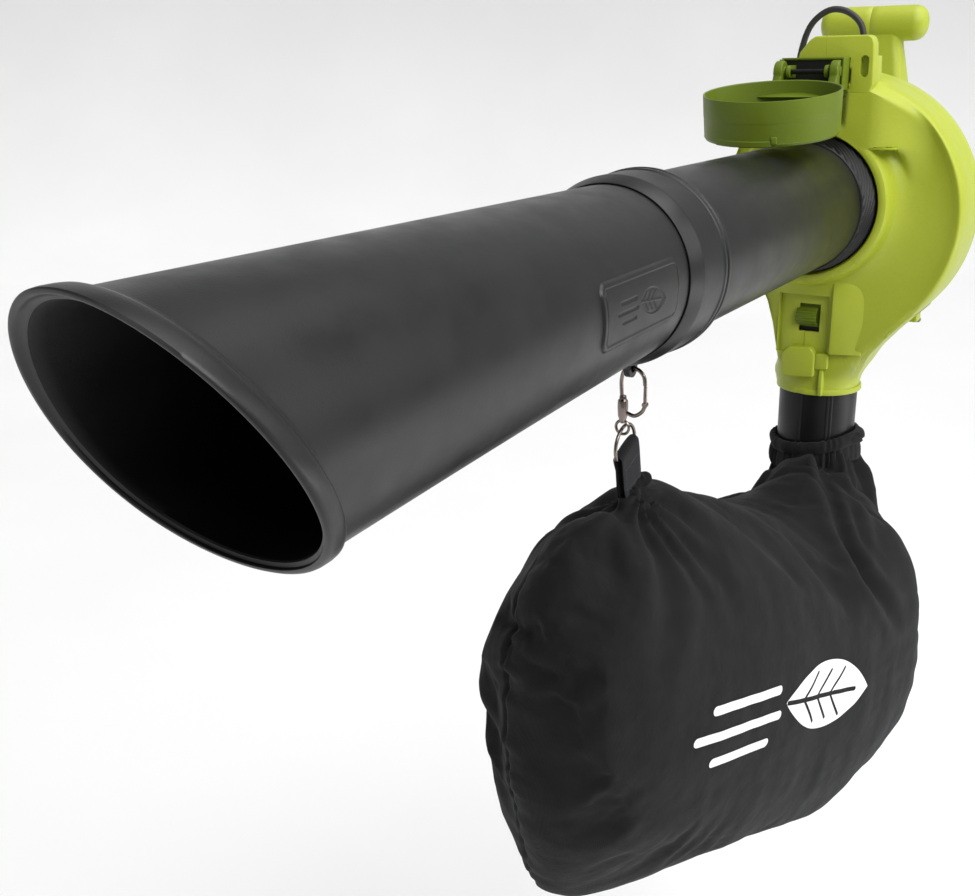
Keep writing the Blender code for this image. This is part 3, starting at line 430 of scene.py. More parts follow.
# ---------------------------------------------------------------- materials
class Build:
    """A material's node tree, with the few nodes used here."""

    def __init__(self, name):
        self.mat = bpy.data.materials.new(name)
        self.mat.use_nodes = True
        self.nodes = self.mat.node_tree.nodes
        self.shader = self.nodes["Principled BSDF"]
        self.place = self.nodes.new("ShaderNodeTexCoord").outputs["Object"]

    def link(self, out, into):
        self.mat.node_tree.links.new(out, into)

    def noise(self, scale, detail=3.0, low=0.0, high=1.0, stretch=None):
        """Noise between low and high, in object space; stretch scales the axes."""
        node = self.nodes.new("ShaderNodeTexNoise")
        node.inputs["Scale"].default_value = scale
        node.inputs["Detail"].default_value = detail
        node.inputs["Roughness"].default_value = NOISE_ROUGHNESS
        source = self.place
        if stretch:
            turn = self.nodes.new("ShaderNodeMapping")
            turn.inputs["Scale"].default_value = stretch
            self.link(source, turn.inputs["Vector"])
            source = turn.outputs["Vector"]
        self.link(source, node.inputs["Vector"])
        return self.ranged(node.outputs["Fac"], 0.3, 0.7, low, high)

    def ranged(self, value, old_low, old_high, low, high):
        node = self.nodes.new("ShaderNodeMapRange")
        for key, number in (("From Min", old_low), ("From Max", old_high), ("To Min", low), ("To Max", high)):
            node.inputs[key].default_value = number
        self.link(value, node.inputs["Value"])
        return node.outputs["Result"]

    def math(self, kind, first, second):
        node = self.nodes.new("ShaderNodeMath")
        node.operation = kind
        for socket, value in zip(node.inputs, (first, second)):
            if isinstance(value, (int, float)):
                socket.default_value = value
            else:
                self.link(value, socket)
        return node.outputs[0]

    def mix(self, share, first, second):
        """Mix two colours, each a colour or a socket."""
        node = self.nodes.new("ShaderNodeMix")
        node.data_type = "RGBA"
        if isinstance(share, float):
            node.inputs["Factor"].default_value = share
        else:
            self.link(share, node.inputs["Factor"])
        for socket, value in ((node.inputs[6], first), (node.inputs[7], second)):
            if isinstance(value, tuple):
                socket.default_value = (*value, 1.0)
            else:
                self.link(value, socket)
        return node.outputs[2]

    def bump(self, height, distance, strength=1.0, after=None):
        node = self.nodes.new("ShaderNodeBump")
        node.inputs["Distance"].default_value = distance
        node.inputs["Strength"].default_value = strength
        self.link(height, node.inputs["Height"])
        if after is not None:
            self.link(after, node.inputs["Normal"])
        return node.outputs["Normal"]

    def edges(self, low, high):
        """0 on flats, 1 on outward edges."""
        return self.ranged(self.nodes.new("ShaderNodeNewGeometry").outputs["Pointiness"], low, high, 0.0, 1.0)


def scaled(colour, factor):
    return tuple(min(1.0, c * factor) for c in colour)


def moulded(name, colour, roughness, grain=0.00004, grain_scale=1100, variation=0.07, edge_wear_and_highlight=1.25,
            specular=0.5):
    """Injection-moulded plastic: fine spark-eroded texture, faint flow marks, lighter edges that are partly
    wear and partly a painted edge highlight.
    """
    build = Build(name)
    patch = build.noise(7, 4)
    tone = build.mix(patch, scaled(colour, 1 - variation), scaled(colour, 1 + variation))
    speck = build.noise(420, 2)
    tone = build.mix(build.math("MULTIPLY", speck, 0.16), tone, scaled(colour, 1.3))
    # lighter outward edges: partly wear, partly a painted highlight along the edges
    worn_and_highlit = build.math("MULTIPLY", build.edges(0.52, 0.6), build.noise(55, 3, 0.1, 0.55))
    tone = build.mix(worn_and_highlit, tone, scaled(colour, edge_wear_and_highlight))
    build.link(tone, build.shader.inputs["Base Color"])
    rough = build.noise(28, 4, roughness - PLASTIC_SPREAD, roughness + PLASTIC_SPREAD)
    build.link(rough, build.shader.inputs["Roughness"])
    build.shader.inputs["Specular IOR Level"].default_value = specular
    flow = build.bump(build.noise(60, 2), 0.00012, 0.5)
    build.link(build.bump(build.noise(grain_scale, 2), grain, 1.0, flow), build.shader.inputs["Normal"])
    return build.mat


def metal(name, colour, roughness, brushed=(1, 1, 1)):
    """Plated or turned metal with fine scratches and dull patches."""
    build = Build(name)
    build.shader.inputs["Metallic"].default_value = 1.0
    patch = build.noise(90, 4)
    tone = build.mix(patch, scaled(colour, 0.82), scaled(colour, 1.12))
    build.link(tone, build.shader.inputs["Base Color"])
    scratched = build.noise(260, 4, roughness - 0.08, roughness + 0.12, brushed)
    build.link(scratched, build.shader.inputs["Roughness"])
    build.link(build.bump(build.noise(900, 3, stretch=brushed), 0.00003), build.shader.inputs["Normal"])
    return build.mat


def woven(name, colour, pitch, depth, sheen, fold=0.0):
    """Plain-weave cloth: two thread directions over and under each other, slubs and lint."""
    build = Build(name)
    turn = build.nodes.new("ShaderNodeMapping")
    turn.inputs["Rotation"].default_value = (math.radians(27), 0.0, math.radians(19))
    build.link(build.place, turn.inputs["Vector"])
    waves = []
    for direction in ("X", "Z"):
        wave = build.nodes.new("ShaderNodeTexWave")
        wave.bands_direction = direction
        wave.inputs["Scale"].default_value = 0.314 / pitch
        wave.inputs["Distortion"].default_value = 0.6
        wave.inputs["Detail"].default_value = 1.0
        wave.inputs["Detail Scale"].default_value = 1.5
        build.link(turn.outputs["Vector"], wave.inputs["Vector"])
        waves.append(wave.outputs["Fac"])
    weave = build.math("MULTIPLY", waves[0], waves[1])
    slub = build.noise(330, 3, 0.0, 1.0, (1, 1, 0.25))
    thread = build.math("ADD", weave, build.math("MULTIPLY", slub, 0.5))
    patch = build.noise(16, 4)
    tone = build.mix(patch, scaled(colour, 0.86), scaled(colour, 1.18))
    tone = build.mix(build.math("MULTIPLY", thread, 0.3), tone, scaled(colour, 2.0))
    build.link(tone, build.shader.inputs["Base Color"])
    rough = build.noise(45, 3, CLOTH_ROUGHNESS - 0.07, CLOTH_ROUGHNESS + 0.07)
    build.link(rough, build.shader.inputs["Roughness"])
    build.shader.inputs["Sheen Weight"].default_value = sheen
    build.shader.inputs["Sheen Roughness"].default_value = 0.5
    build.shader.inputs["Sheen Tint"].default_value = (0.75, 0.77, 0.82, 1.0)
    build.shader.inputs["Specular IOR Level"].default_value = 0.17
    base = build.bump(build.noise(38, 3), fold, 0.6) if fold else None
    build.link(build.bump(thread, depth, 1.0, base), build.shader.inputs["Normal"])
    return build.mat

LIME = moulded("lime_plastic", (0.37, 0.43, 0.031), 0.42, variation=0.05, edge_wear_and_highlight=1.18, specular=0.42)
GREEN = moulded("olive_green_plastic", (0.108, 0.152, 0.01), 0.4, variation=0.08, edge_wear_and_highlight=1.4, specular=0.22)
TUBE = moulded("tube_plastic", (0.0075, 0.0077, 0.008), 0.37, grain=0.00003, variation=0.1, edge_wear_and_highlight=2.0,
               specular=0.34)
# a darker copy of the tube plastic for the bore: painted shade inside the tube
SHADED_INSIDE = moulded("tube_inside_shaded", (0.0035, 0.0035, 0.0037), 0.55, variation=0.15, edge_wear_and_highlight=1.5, specular=0.25)
BLACK = moulded("adapter_plastic", (0.006, 0.006, 0.0063), 0.4, variation=0.12, edge_wear_and_highlight=2.2, specular=0.24)
# near-black plastic laid into recesses as painted shade
RECESS_SHADE = moulded("painted_recess_shade", (0.005, 0.0055, 0.0045), 0.6, variation=0.2, specular=0.3)
GREY = moulded("switch_grey", (0.1, 0.1, 0.11), 0.45)
RUBBER = moulded("cord_rubber", (0.017, 0.0155, 0.015), 0.5, grain=0.00006, grain_scale=700, edge_wear_and_highlight=1.8)
FABRIC = woven("bag_cloth", (0.0066, 0.0066, 0.0069), 0.0011, 0.00012, sheen=0.04, fold=0.0009)
HEM = woven("hem_cloth", (0.009, 0.009, 0.0096), 0.0011, 0.00015, sheen=0.08, fold=0.001)
WEBBING = woven("webbing", (0.01, 0.01, 0.0108), 0.0017, 0.0003, sheen=0.08)
THREAD = woven("stitch_thread", (0.07, 0.07, 0.073), 0.0004, 0.00008, sheen=0.2)
PRINT = moulded("white_print", (0.78, 0.78, 0.77), 0.62, grain=0.0001, grain_scale=800, variation=0.04)
NICKEL = metal("dark_nickel", (0.215, 0.18, 0.16), 0.2)
STEEL = metal("steel", (0.58, 0.58, 0.6), 0.3, (1, 6, 1))
BLACKENED = metal("blackened_steel", (0.03, 0.03, 0.03), 0.42)
ALLOY = metal("cast_alloy", (0.62, 0.63, 0.65), 0.42)
COPPER = metal("copper", (0.72, 0.36, 0.18), 0.32)


# carried-over CAD nodes, each given a detailed material
for mat, names in (
        (TUBE, "lower_tube upper_tube tube_coupling strap_eye intake_flange"),
        (BLACK, "outlet_adapter trigger lock_button speed_dial"),
        (LIME, "volute_front_shell volute_rear_shell latch_panel hinge_tower motor_housing motor_rear_cap "
               "front_grip_left front_grip_right main_handle_left main_handle_right cord_gland"),
        (GREEN, "intake_cover latch_slider"), (GREY, "interlock_switch switch_module"),
        (RUBBER, "strain_relief power_cord plug_body"), (FABRIC, "bag bag_sleeve"), (WEBBING, "webbing_tab"),
        (NICKEL, "d_ring snap_hook hook_gate"),
        (STEEL, "volute_screw_1 volute_screw_2 volute_screw_3 hinge_pin latch_spring impeller_nut "
                "motor_shaft front_bearing rear_bearing stator trigger_spring handle_screw_1 handle_screw_2 "
                "handle_screw_3 plug_blade_left plug_blade_right"),
        (ALLOY, "impeller"), (COPPER, "armature commutator brush_left brush_right")):
    for name in names.split():
        for material_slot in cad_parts[name].material_slots:
            material_slot.material = mat


# ---------------------------------------------------------------- suction tubes
def tube_point(blend, angle, bulge):
    """A point on the lower tube: round at the joint, slanted and egg-shaped at the mouth."""
    half_y = TUBE_R + (MOUTH_HALF_WIDTH - TUBE_R) * blend + bulge
    half_z = TUBE_R + (MOUTH_HALF_HEIGHT - TUBE_R) * blend + bulge
    z = MOUTH_CENTRE_Z * blend + half_z * math.sin(angle)
    y = half_y * math.cos(angle) * (1 - MOUTH_EGG * blend * blend * math.sin(angle))
    x = COUPLING_FRONT_X + (MOUTH_X + MOUTH_SLOPE * z - COUPLING_FRONT_X) * blend
    return Vector((x, y, z))


def tube_skin(name, stations):
    rings = [[tube_point(s, a, b) for a in full_turn(TUBE_STEPS)] for s, b in stations]
    return loft(name, rings, caps=False)


def lower_tube():
    body = [(k / 30 * 0.955, 0.0) for k in range(31)]
    rim = [(0.961, 0.0001), (0.9635, 0.001), (0.966, 0.0026), (0.97, 0.0034), (0.978, 0.0037), (0.99, 0.0037),
           (0.996, 0.0034), (0.9985, 0.0026), (0.9995, 0.0014), (0.999, 0.0004), (0.9965, -0.0002),
           (0.9925, -0.0004), (0.9905, -0.0012), (0.989, -0.0026)]
    outer = tube_skin("lower_tube_shell", body + rim)
    place(outer, TUBE, nodes=["lower_tube"], slot="black_tube_plastic")
    inner = [(0.9895, -0.0022), (0.985, -0.0032)] + [(0.97 * (1 - k / 12), -0.0034) for k in range(13)]
    # the bore takes the darker copy of the tube plastic: painted shade
    place(tube_skin("lower_tube_bore", inner), SHADED_INSIDE)


def tube_side(x, z):
    """The near side of the lower tube at a station and height."""
    blend = (x - COUPLING_FRONT_X) / (MOUTH_X + MOUTH_SLOPE * z - COUPLING_FRONT_X)
    half_z = TUBE_R + (MOUTH_HALF_HEIGHT - TUBE_R) * blend
    sine = (z - MOUTH_CENTRE_Z * blend) / half_z
    half_y = TUBE_R + (MOUTH_HALF_WIDTH - TUBE_R) * blend
    return -half_y * math.sqrt(1 - sine * sine) * (1 - MOUTH_EGG * blend * blend * sine)


def leaf_depth(u, v, length, width):
    """Distance outside a leaf outline, negative inside, for a leaf along u."""
    offset = (length * length - width * width) / (2 * width)
    return math.hypot(u, abs(v) + offset) - (width + offset)


def bar_depth(u, v, half, radius):
    return math.hypot(max(abs(u) - half, 0.0), v) - radius


def segment_depth(u, v, start, end, radius):
    along = (end[0] - start[0], end[1] - start[1])
    share = ((u - start[0]) * along[0] + (v - start[1]) * along[1]) / (along[0] ** 2 + along[1] ** 2)
    share = min(1.0, max(0.0, share))
    return math.hypot(u - start[0] - share * along[0], v - start[1] - share * along[1]) - radius


def emblem_depth(u, v):
    """A generic leaf with three stripes of moving air behind it; negative inside."""
    across = v + 0.1 * (u - 0.013)
    leaf = leaf_depth(u - 0.013, across, 0.021, 0.0088)
    rib = bar_depth(u - 0.01, across, 0.017, 0.0006)
    vein = min(segment_depth(u, across, (at, 0.0), (at + 0.0065, side * 0.0062), 0.0004)
               for side in (1, -1) for at in (0.0, 0.007, 0.014))
    leaf = max(leaf, -rib, -vein)
    stripes = min(bar_depth(u + 0.024 + shift, v - rise, reach, 0.0011)
                  for shift, rise, reach in ((0.0, 0.0062, 0.012), (0.002, 0.0, 0.015), (0.0, -0.0062, 0.01)))
    return min(leaf, stripes)


def tube_pad():
    """Raised rounded pad on the tube's near side with a frame line and a leaf emblem sunk in it."""
    centre_x, half_u, half_v, corner = -0.616, 0.0605, 0.0222, 0.0085
    rings = []
    columns, rows = 280, 104
    for i in range(columns + 1):
        u = (i / columns * 2 - 1) * (half_u + 0.002)
        ring = []
        for j in range(rows + 1):
            v = (j / rows * 2 - 1) * (half_v + 0.002)
            edge = math.hypot(max(abs(u) - half_u + corner, 0), max(abs(v) - half_v + corner, 0)) - corner
            height = 0.0021 * smoothstep(0.0008, -0.0016, edge) - 0.0005
            height -= 0.0006 * math.exp(-((edge + 0.0045) / 0.0006) ** 2)
            height -= 0.0008 * smoothstep(0.0003, -0.0004, emblem_depth(u, v))
            x = centre_x + u
            ring.append((x, tube_side(x, v) - height, v))
        rings.append(ring)
    place(loft("tube_pad", rings, closed=False, caps=False), TUBE, sharp=60)


def upper_tubes():
    inner = TUBE_R - 0.003
    section = eased([(JOINT_X, TUBE_R), (TUBE_END_X, TUBE_R), (TUBE_END_X, inner), (JOINT_X, inner)], 0.0008)
    place(turned("upper_tube_shell", section), TUBE, nodes=["upper_tube"], slot="black_tube_plastic")
    front, back, lip = COUPLING_FRONT_X, COUPLING_BACK_X, COUPLING_R + 0.0014
    inner = TUBE_R + 0.0003
    section = eased([(front, inner), (front, inner + 0.001), (front + 0.015, COUPLING_R),
                     (back - 0.0125, COUPLING_R), (back - 0.0115, COUPLING_R + 0.001),
                     (back - 0.008, COUPLING_R + 0.001), (back - 0.0072, COUPLING_R + 0.0002),
                     (back - 0.0062, COUPLING_R + 0.0002), (back - 0.0054, lip), (back - 0.0015, lip),
                     (back, COUPLING_R - 0.0008), (back, inner)], 0.0009)
    place(turned("tube_coupling_shell", section, steps=160), TUBE, nodes=["tube_coupling"],
          slot="black_tube_plastic")


def intake_flange():
    """Soft seal between the tube and the housing: a bead on the tube, then slanted ribs."""
    front, back, ribs = SEAL_FRONT_X, -0.0455, 36

    def rope(angle, station, radius):
        share = smoothstep(front + 0.003, front + 0.007, station) * smoothstep(-0.046, -0.054, station)
        wave = math.sin(ribs * angle + SEAL_SLANT * station)
        return share * (radius > 0.066) * 0.0015 * (wave - 0.6 * smoothstep(-0.35, -0.9, wave))

    bead = [(front, TUBE_R + 0.0001), (front + 0.0004, TUBE_R + 0.0013), (front + 0.0014, TUBE_R + 0.0018),
            (front + 0.0024, TUBE_R + 0.0013), (front + 0.003, TUBE_R + 0.0006)]
    slope = [(front + 0.004 + (back - front - 0.004) * k / 44, TUBE_R + 0.0012 + 0.0064 * (k / 44) ** 1.15)
             for k in range(45)]
    end, bore = TUBE_END_X + 0.0003, TUBE_R - 0.0002
    section = bead + slope + [(back, 0.0642), (end, 0.0642), (end, bore), (front, bore)]
    place(turned("intake_seal", section, steps=768, relief=rope), BLACK, nodes=["intake_flange"],
          slot="black_tube_plastic", sharp=50)


lower_tube()
tube_pad()
upper_tubes()
intake_flange()


# ---------------------------------------------------------------- blower housing
def scroll_radius(angle):
    a = math.radians(angle)
    along = SCROLL_CENTRE[0] * math.cos(a) + SCROLL_CENTRE[1] * math.sin(a)
    offset = SCROLL_CENTRE[0] ** 2 + SCROLL_CENTRE[1] ** 2
    return along + math.sqrt(SCROLL_R ** 2 - offset + along ** 2)


def housing_outline():
    """The housing's outer edge in the Y-Z plane, from the outlet's far corner round to its near one."""
    round_part = [(math.cos(math.radians(a)) * scroll_radius(a), math.sin(math.radians(a)) * scroll_radius(a))
                  for a in range(90, 226, 9)]
    chain = NECK_FAR + FAR_SIDE + round_part + NECK_NEAR
    edge = smooth_points([(y, z, 0) for y, z in chain], 10)
    bottom = [edge[-1].lerp(edge[0], k / 24) for k in range(1, 24)]
    return [(p.x, p.y) for p in edge + bottom]

OUTLINE = housing_outline()


def neck_depth(y, z):
    """How far the outlet neck reaches in front of and behind its axis: boxy above, round at the outlet."""
    blend = smoothstep(-0.105, -0.2, z)
    near = min(p[0] for p in OUTLINE if abs(p[1] - z) < 0.006)
    far = max(p[0] for p in OUTLINE if abs(p[1] - z) < 0.006)
    share = abs((2 * y - near - far) / (far - near))
    power = 9.0 - 6.8 * blend
    depth = 0.0485 + 0.004 * (1 - blend)
    return depth * max(0.0, 1 - min(1.0, share) ** power) ** (1 / power)


def far_wall(x, z):
    """Where the outlet neck's far side wall stands: it widens towards the back and upwards."""
    for (low, wide), (high, wider) in zip(FAR_WALL, FAR_WALL[1:]):
        if z <= high:
            break
    share = max(0.0, min(1.0, (z - low) / (high - low)))
    return wide + share * (wider - wide) + 0.335 * (x + 0.0136) + 0.012 * smoothstep(-0.182, -0.204, z)


def tower_face(y, z):
    """Share, 0 to 1, of the flat that the hinge tower stands on, with a ledge below it."""
    low = 0.0565 - 0.04 * smoothstep(-0.078, -0.104, y)
    return smoothstep(-0.12, -0.058, y) * smoothstep(low, 0.059, z) * smoothstep(-0.022, -0.036, y)


def housing_skin(name, sections, lip, front):
    """Front or rear shell over (share of the way out, x) stations; lip is the inner radius."""
    rings = []
    for share, x in sections:
        ring = []
        for y, z in OUTLINE:
            radius = math.hypot(y, z)
            r = -share if share < 0 else lip + share * (radius - lip)
            py, pz = y * r / radius, z * r / radius
            px = x
            if front and r > 0.0768:
                px += (TOWER_FACE_X - px) * tower_face(py, pz) * smoothstep(1.0, 0.78, share)
            if pz < -0.105:
                depth = neck_depth(py, pz)
                limit = OUTLET_AXIS[0] - depth if front else OUTLET_AXIS[0] + depth
                px = max(px, limit) if front else min(px, limit)
            slim = 1 - 0.09 * smoothstep(-0.18, -0.206, pz)
            px = OUTLET_AXIS[0] + (px - OUTLET_AXIS[0]) * slim
            py = OUTLET_AXIS[1] + (py - OUTLET_AXIS[1]) * slim
            if py > 0 and pz < 0:
                wall = far_wall(px, pz)
                py = wall - 0.006 * math.log1p(math.exp(min(60.0, (wall - py) / 0.006)))
                py = max(py, -0.004)
            ring.append((px, py, pz))
        rings.append(ring)
    return loft(name, rings, caps=False)


def front_shell():
    profile = mm([(-71.5, -46), (-72.8, -58), (-74.1, -63.2), (-75.2, -64.7), (-77.2, -65.2), (-80, -65),
                  (-82.6, -64), (-84.5, -61), (-86, -56), (-87.5, -50)])
    face = smooth_profile([(0.0, -0.0452), (0.08, -0.0415), (0.2, -0.0388), (0.38, -0.0372), (0.6, -0.037),
                           (0.78, -0.0385), (0.88, -0.0405), (0.935, -0.0412), (0.968, -0.0385),
                           (0.988, -0.032), (0.998, -0.023), (1.0, -0.012), (1.0, SPLIT_X - 0.0016),
                           (0.994, SPLIT_X - 0.0003)], 4)
    shell = housing_skin("volute_front", profile + face, 0.09, True)
    cut(shell, *boxes(("window_cutter", (-90, -26, -168), (-15, 30, -101), 0)))
    place(shell, LIME, nodes=["volute_front_shell"], slot="lime_housing", sharp=34)


def rear_shell():
    back = HOUSING_BACK_X
    face = smooth_profile([(0.0, back - 0.008), (0.0, back), (0.1, back + 0.0005), (0.8, back - 0.001),
                           (0.93, back - 0.004), (0.975, back - 0.009), (0.995, back - 0.018),
                           (1.0, back - 0.028), (1.0, SPLIT_X + 0.0018), (0.994, SPLIT_X + 0.0003)], 4)
    place(housing_skin("volute_rear", face, 0.058, False), LIME, nodes=["volute_rear_shell"],
          slot="lime_housing", sharp=34)


def outlet_band():
    """Lip round the foot of the housing's outlet, notched where the adapter is keyed."""
    rings = []
    for z, proud in ((OUTLET_Z + 0.0066, -0.0014), (OUTLET_Z + 0.0062, 0.0004), (OUTLET_Z + 0.005, 0.001),
                     (OUTLET_Z + 0.0014, 0.0012), (OUTLET_Z + 0.0003, 0.0008), (OUTLET_Z, 0.0),
                     (OUTLET_Z, -0.004), (OUTLET_Z + 0.0066, -0.004)):
        ring = []
        for a in full_turn(144):
            notch = -0.0014 * smoothstep(0.0045, 0.003, abs(0.0484 * math.sin(a) - 0.01)) * (math.cos(a) < 0)
            ring.append((OUTLET_AXIS[0] + (0.0455 + proud + notch) * math.cos(a),
                         OUTLET_AXIS[1] + (0.0465 + proud) * math.sin(a), z))
        rings.append(ring)
    rings.append(rings[0])
    place(loft("outlet_band", rings, caps=False), LIME)


def latch_surround():
    """Recessed panel, its window, the blocks under it and the key rib that runs down to the outlet."""
    panel, window = boxes(("latch_plate", (-34.5, -30, -168.2), (-30.5, 30, -96.5), 0),
                          ("window", (-50, -15, -143.2), (-10, 8, -112), 0))
    parts = [round_edges(cut(panel, window), 0.0006, 2)]
    parts += prisms(("ridge", [(-30, -30), (-44.2, -30), (-45, -31.2), (-44.4, -35), (-37, -63), (-30, -63)],
                     -164.2, -77, "Z", 0.8, 2))
    parts += boxes(("wall", (-39.2, 29.2, -168.2), (-30, 31, -93.5), 1.2),
                   ("wall", (-40, -30, -97.5), (-30, 30, -95.5), 1.2))
    parts += prisms(("latch_block", [(22.5, -196), (-15, -193), (-15, -166.5), (-9.5, -159), (15, -160.5),
                                     (22.5, -168)], -44, -30, "X", 2.2, 3),
                    ("latch_block_side", [(-14.5, -185), (-29, -183), (-29, -165), (-14.5, -166.5)],
                     -41.2, -30, "X", 1.8, 3))
    parts += boxes(("centre_seam", (-35.3, -0.3, -164), (-30, 0.3, -143.4), 0.2),
                   ("key_rib", (-39.5, -24, -215), (-25, -19.5, -184), 1.2))
    place(join("latch_panel_detail", parts), LIME, nodes=["latch_panel"], slot="lime_housing", sharp=35)
    # the latch well is a near-black box behind the window: painted shade in the recess
    well, lug = boxes(("latch_well", (-30, -18, -145), (-25.5, 11, -108.5), 0.5),
                      ("housing_lug", (12, -108.5, -132), (30, -98, -121), 1.8))
    place(well, RECESS_SHADE)
    place(lug, LIME)


def latch_thumb():
    """Ribbed half-round slider with an open end."""
    outer = []
    ribs = 10
    for k in range(ribs * 4 + 1):
        a = math.radians(75 + 210 * k / (ribs * 4))
        r = 0.0098 + 0.00055 * math.cos(math.pi * k / 2)
        outer.append((LATCH_X + r * math.cos(a), LATCH_Z + r * math.sin(a)))
    inner = [(LATCH_X + u, LATCH_Z + v) for u, v in arc((0, 0), 0.0076, 285, 75, 18)]
    shell = prism("slider_shell", outer + inner, -0.0125, 0.0105, "Y")
    web = prism("slider_web", [(LATCH_X + u, LATCH_Z + v) for u, v in arc((0, 0), 0.008, 75, 285, 18)],
                -0.0085, 0.01, "Y")
    base, = boxes(("slider_base", (-30.2, -17, -138.5), (-27.5, 19, -112), 0.6))
    place(join("latch_thumb", [round_edges(shell, 0.0003, 2, 50), web, base]), GREEN, "latch",
          nodes=["latch_slider"], slot="dark_green_plastic")


def outlet_adapter():
    """Black tube under the outlet, with its key rib and a thin mould line."""
    ribs = ((math.radians(214), 0.003, 0.0017), (math.radians(174), 0.0009, 0.0006))

    def relief(angle, station, radius):
        if radius < 0.042 or station > OUTLET_Z + 0.001:
            return 0.0
        out = 0.0
        for at, half, height in ribs:
            off = abs(math.remainder(angle - at, 2 * math.pi)) * radius
            out = max(out, height * smoothstep(half + 0.0006, half, off))
            if half > 0.002:
                out -= 0.0009 * math.exp(-(off / 0.0007) ** 2)
        return out

    outer = OUTLET_R - 0.0008
    section = eased([(-0.192, outer), (-0.298, outer - 0.0004), (-0.298, outer - 0.003),
                     (-0.192, outer - 0.003)], 0.0006)
    place(turned("outlet_adapter_shell", section, "Z", (*OUTLET_AXIS, 0), steps=480, relief=relief), BLACK,
          nodes=["outlet_adapter"], slot="black_tube_plastic", sharp=50)


front_shell()
rear_shell()
outlet_band()
latch_surround()
latch_thumb()
outlet_adapter()


# ---------------------------------------------------------------- hinge tower, bracket and intake cover
def hinge_tower():
    """Thin tower on the housing's flat, with the dark bracket, its pocket drawn as a near-black sheet of
    painted shade, and the cover's hinge pin.
    """
    upper, lower, shelf = prisms(
        ("tower_head", [(18, 136), (18, 147.8), (16.8, 152.5), (7.5, 164), (1.5, 168), (-52, 168),
                        (-56, 165.5), (-58, 160), (-58.8, 147.8), (-59.8, 120), (-56, 112), (-36.6, 112),
                        (-36.6, 136)],
         -64.8, -47, "X", 2, 4),
        ("tower_column", [(-58, 148), (-60, 100), (-38, 100), (-38, 148)], -48, -30, "X", 1, 2),
        ("tower_ledge", [(-53, 58.8), (-88, 58.8), (-87, 57.4), (-54, 57.2)], -64, -40, "X", 0.5, 2))
    slot_outline = arc((-0.05, 0.1445), 0.0042, 0, 180, 9) + arc((-0.05, 0.132), 0.0042, 180, 360, 9)
    bpy.context.view_layer.update()
    cut(upper, prism("slot", slot_outline, -0.0748, -0.0563, "X"))
    seam, foot = boxes(("tower_seam", (-65, -11.4, 149), (-62.8, -10.8, 168.2), 0.1),
                       ("tower_foot", (-51, -56, 108), (-22, 15, 148), 4))
    place(join("hinge_tower_shell", [upper, lower, seam, shelf, foot]), LIME, nodes=["hinge_tower"],
          slot="lime_housing", sharp=30)
    parts = boxes(("plate", (-69.8, -36.2, 114), (-65.5, 32.5, 147.2), 1),
                  ("cheek", (-88, -36.2, 116), (-66, -34, 147.2), 0.9),
                  ("cheek", (-80, 30.3, 116), (-66, 32.5, 146.2), 0.9),
                  ("pocket_top", (-72, -36.2, 145.2), (-65.5, 32.5, 147.4), 0.6))
    for y in (-0.0195, 0.0195):
        arm = arc((HINGE_X, HINGE_Z), 0.0062, 90, 270, 12)
        arm += [(-0.066, HINGE_Z - 0.0062), (-0.066, HINGE_Z + 0.0062)]
        parts.append(prism("arm", arm, y - 0.002, y + 0.002, "Y", 0.0006, 2))
    place(join("hinge_bracket", parts), GREEN, slot="dark_green_plastic")
    # the bracket pocket is a thin near-black sheet: painted shade
    place(*boxes(("bracket_pocket", (-70.2, -33.5, 117.5), (-69.4, 30, 144.5), 0.2)), RECESS_SHADE)
    rod = mm([(-32, 0.1), (-32, 2.1), (-31.6, 2.5), (31.6, 2.5), (32, 2.1), (32, 0.1)])
    pin = turned("hinge_pin_rod", rod, "Y", (HINGE_X, 0, HINGE_Z), steps=32, closed=False)
    place(pin, BLACKENED, nodes=["hinge_pin"], slot="steel")


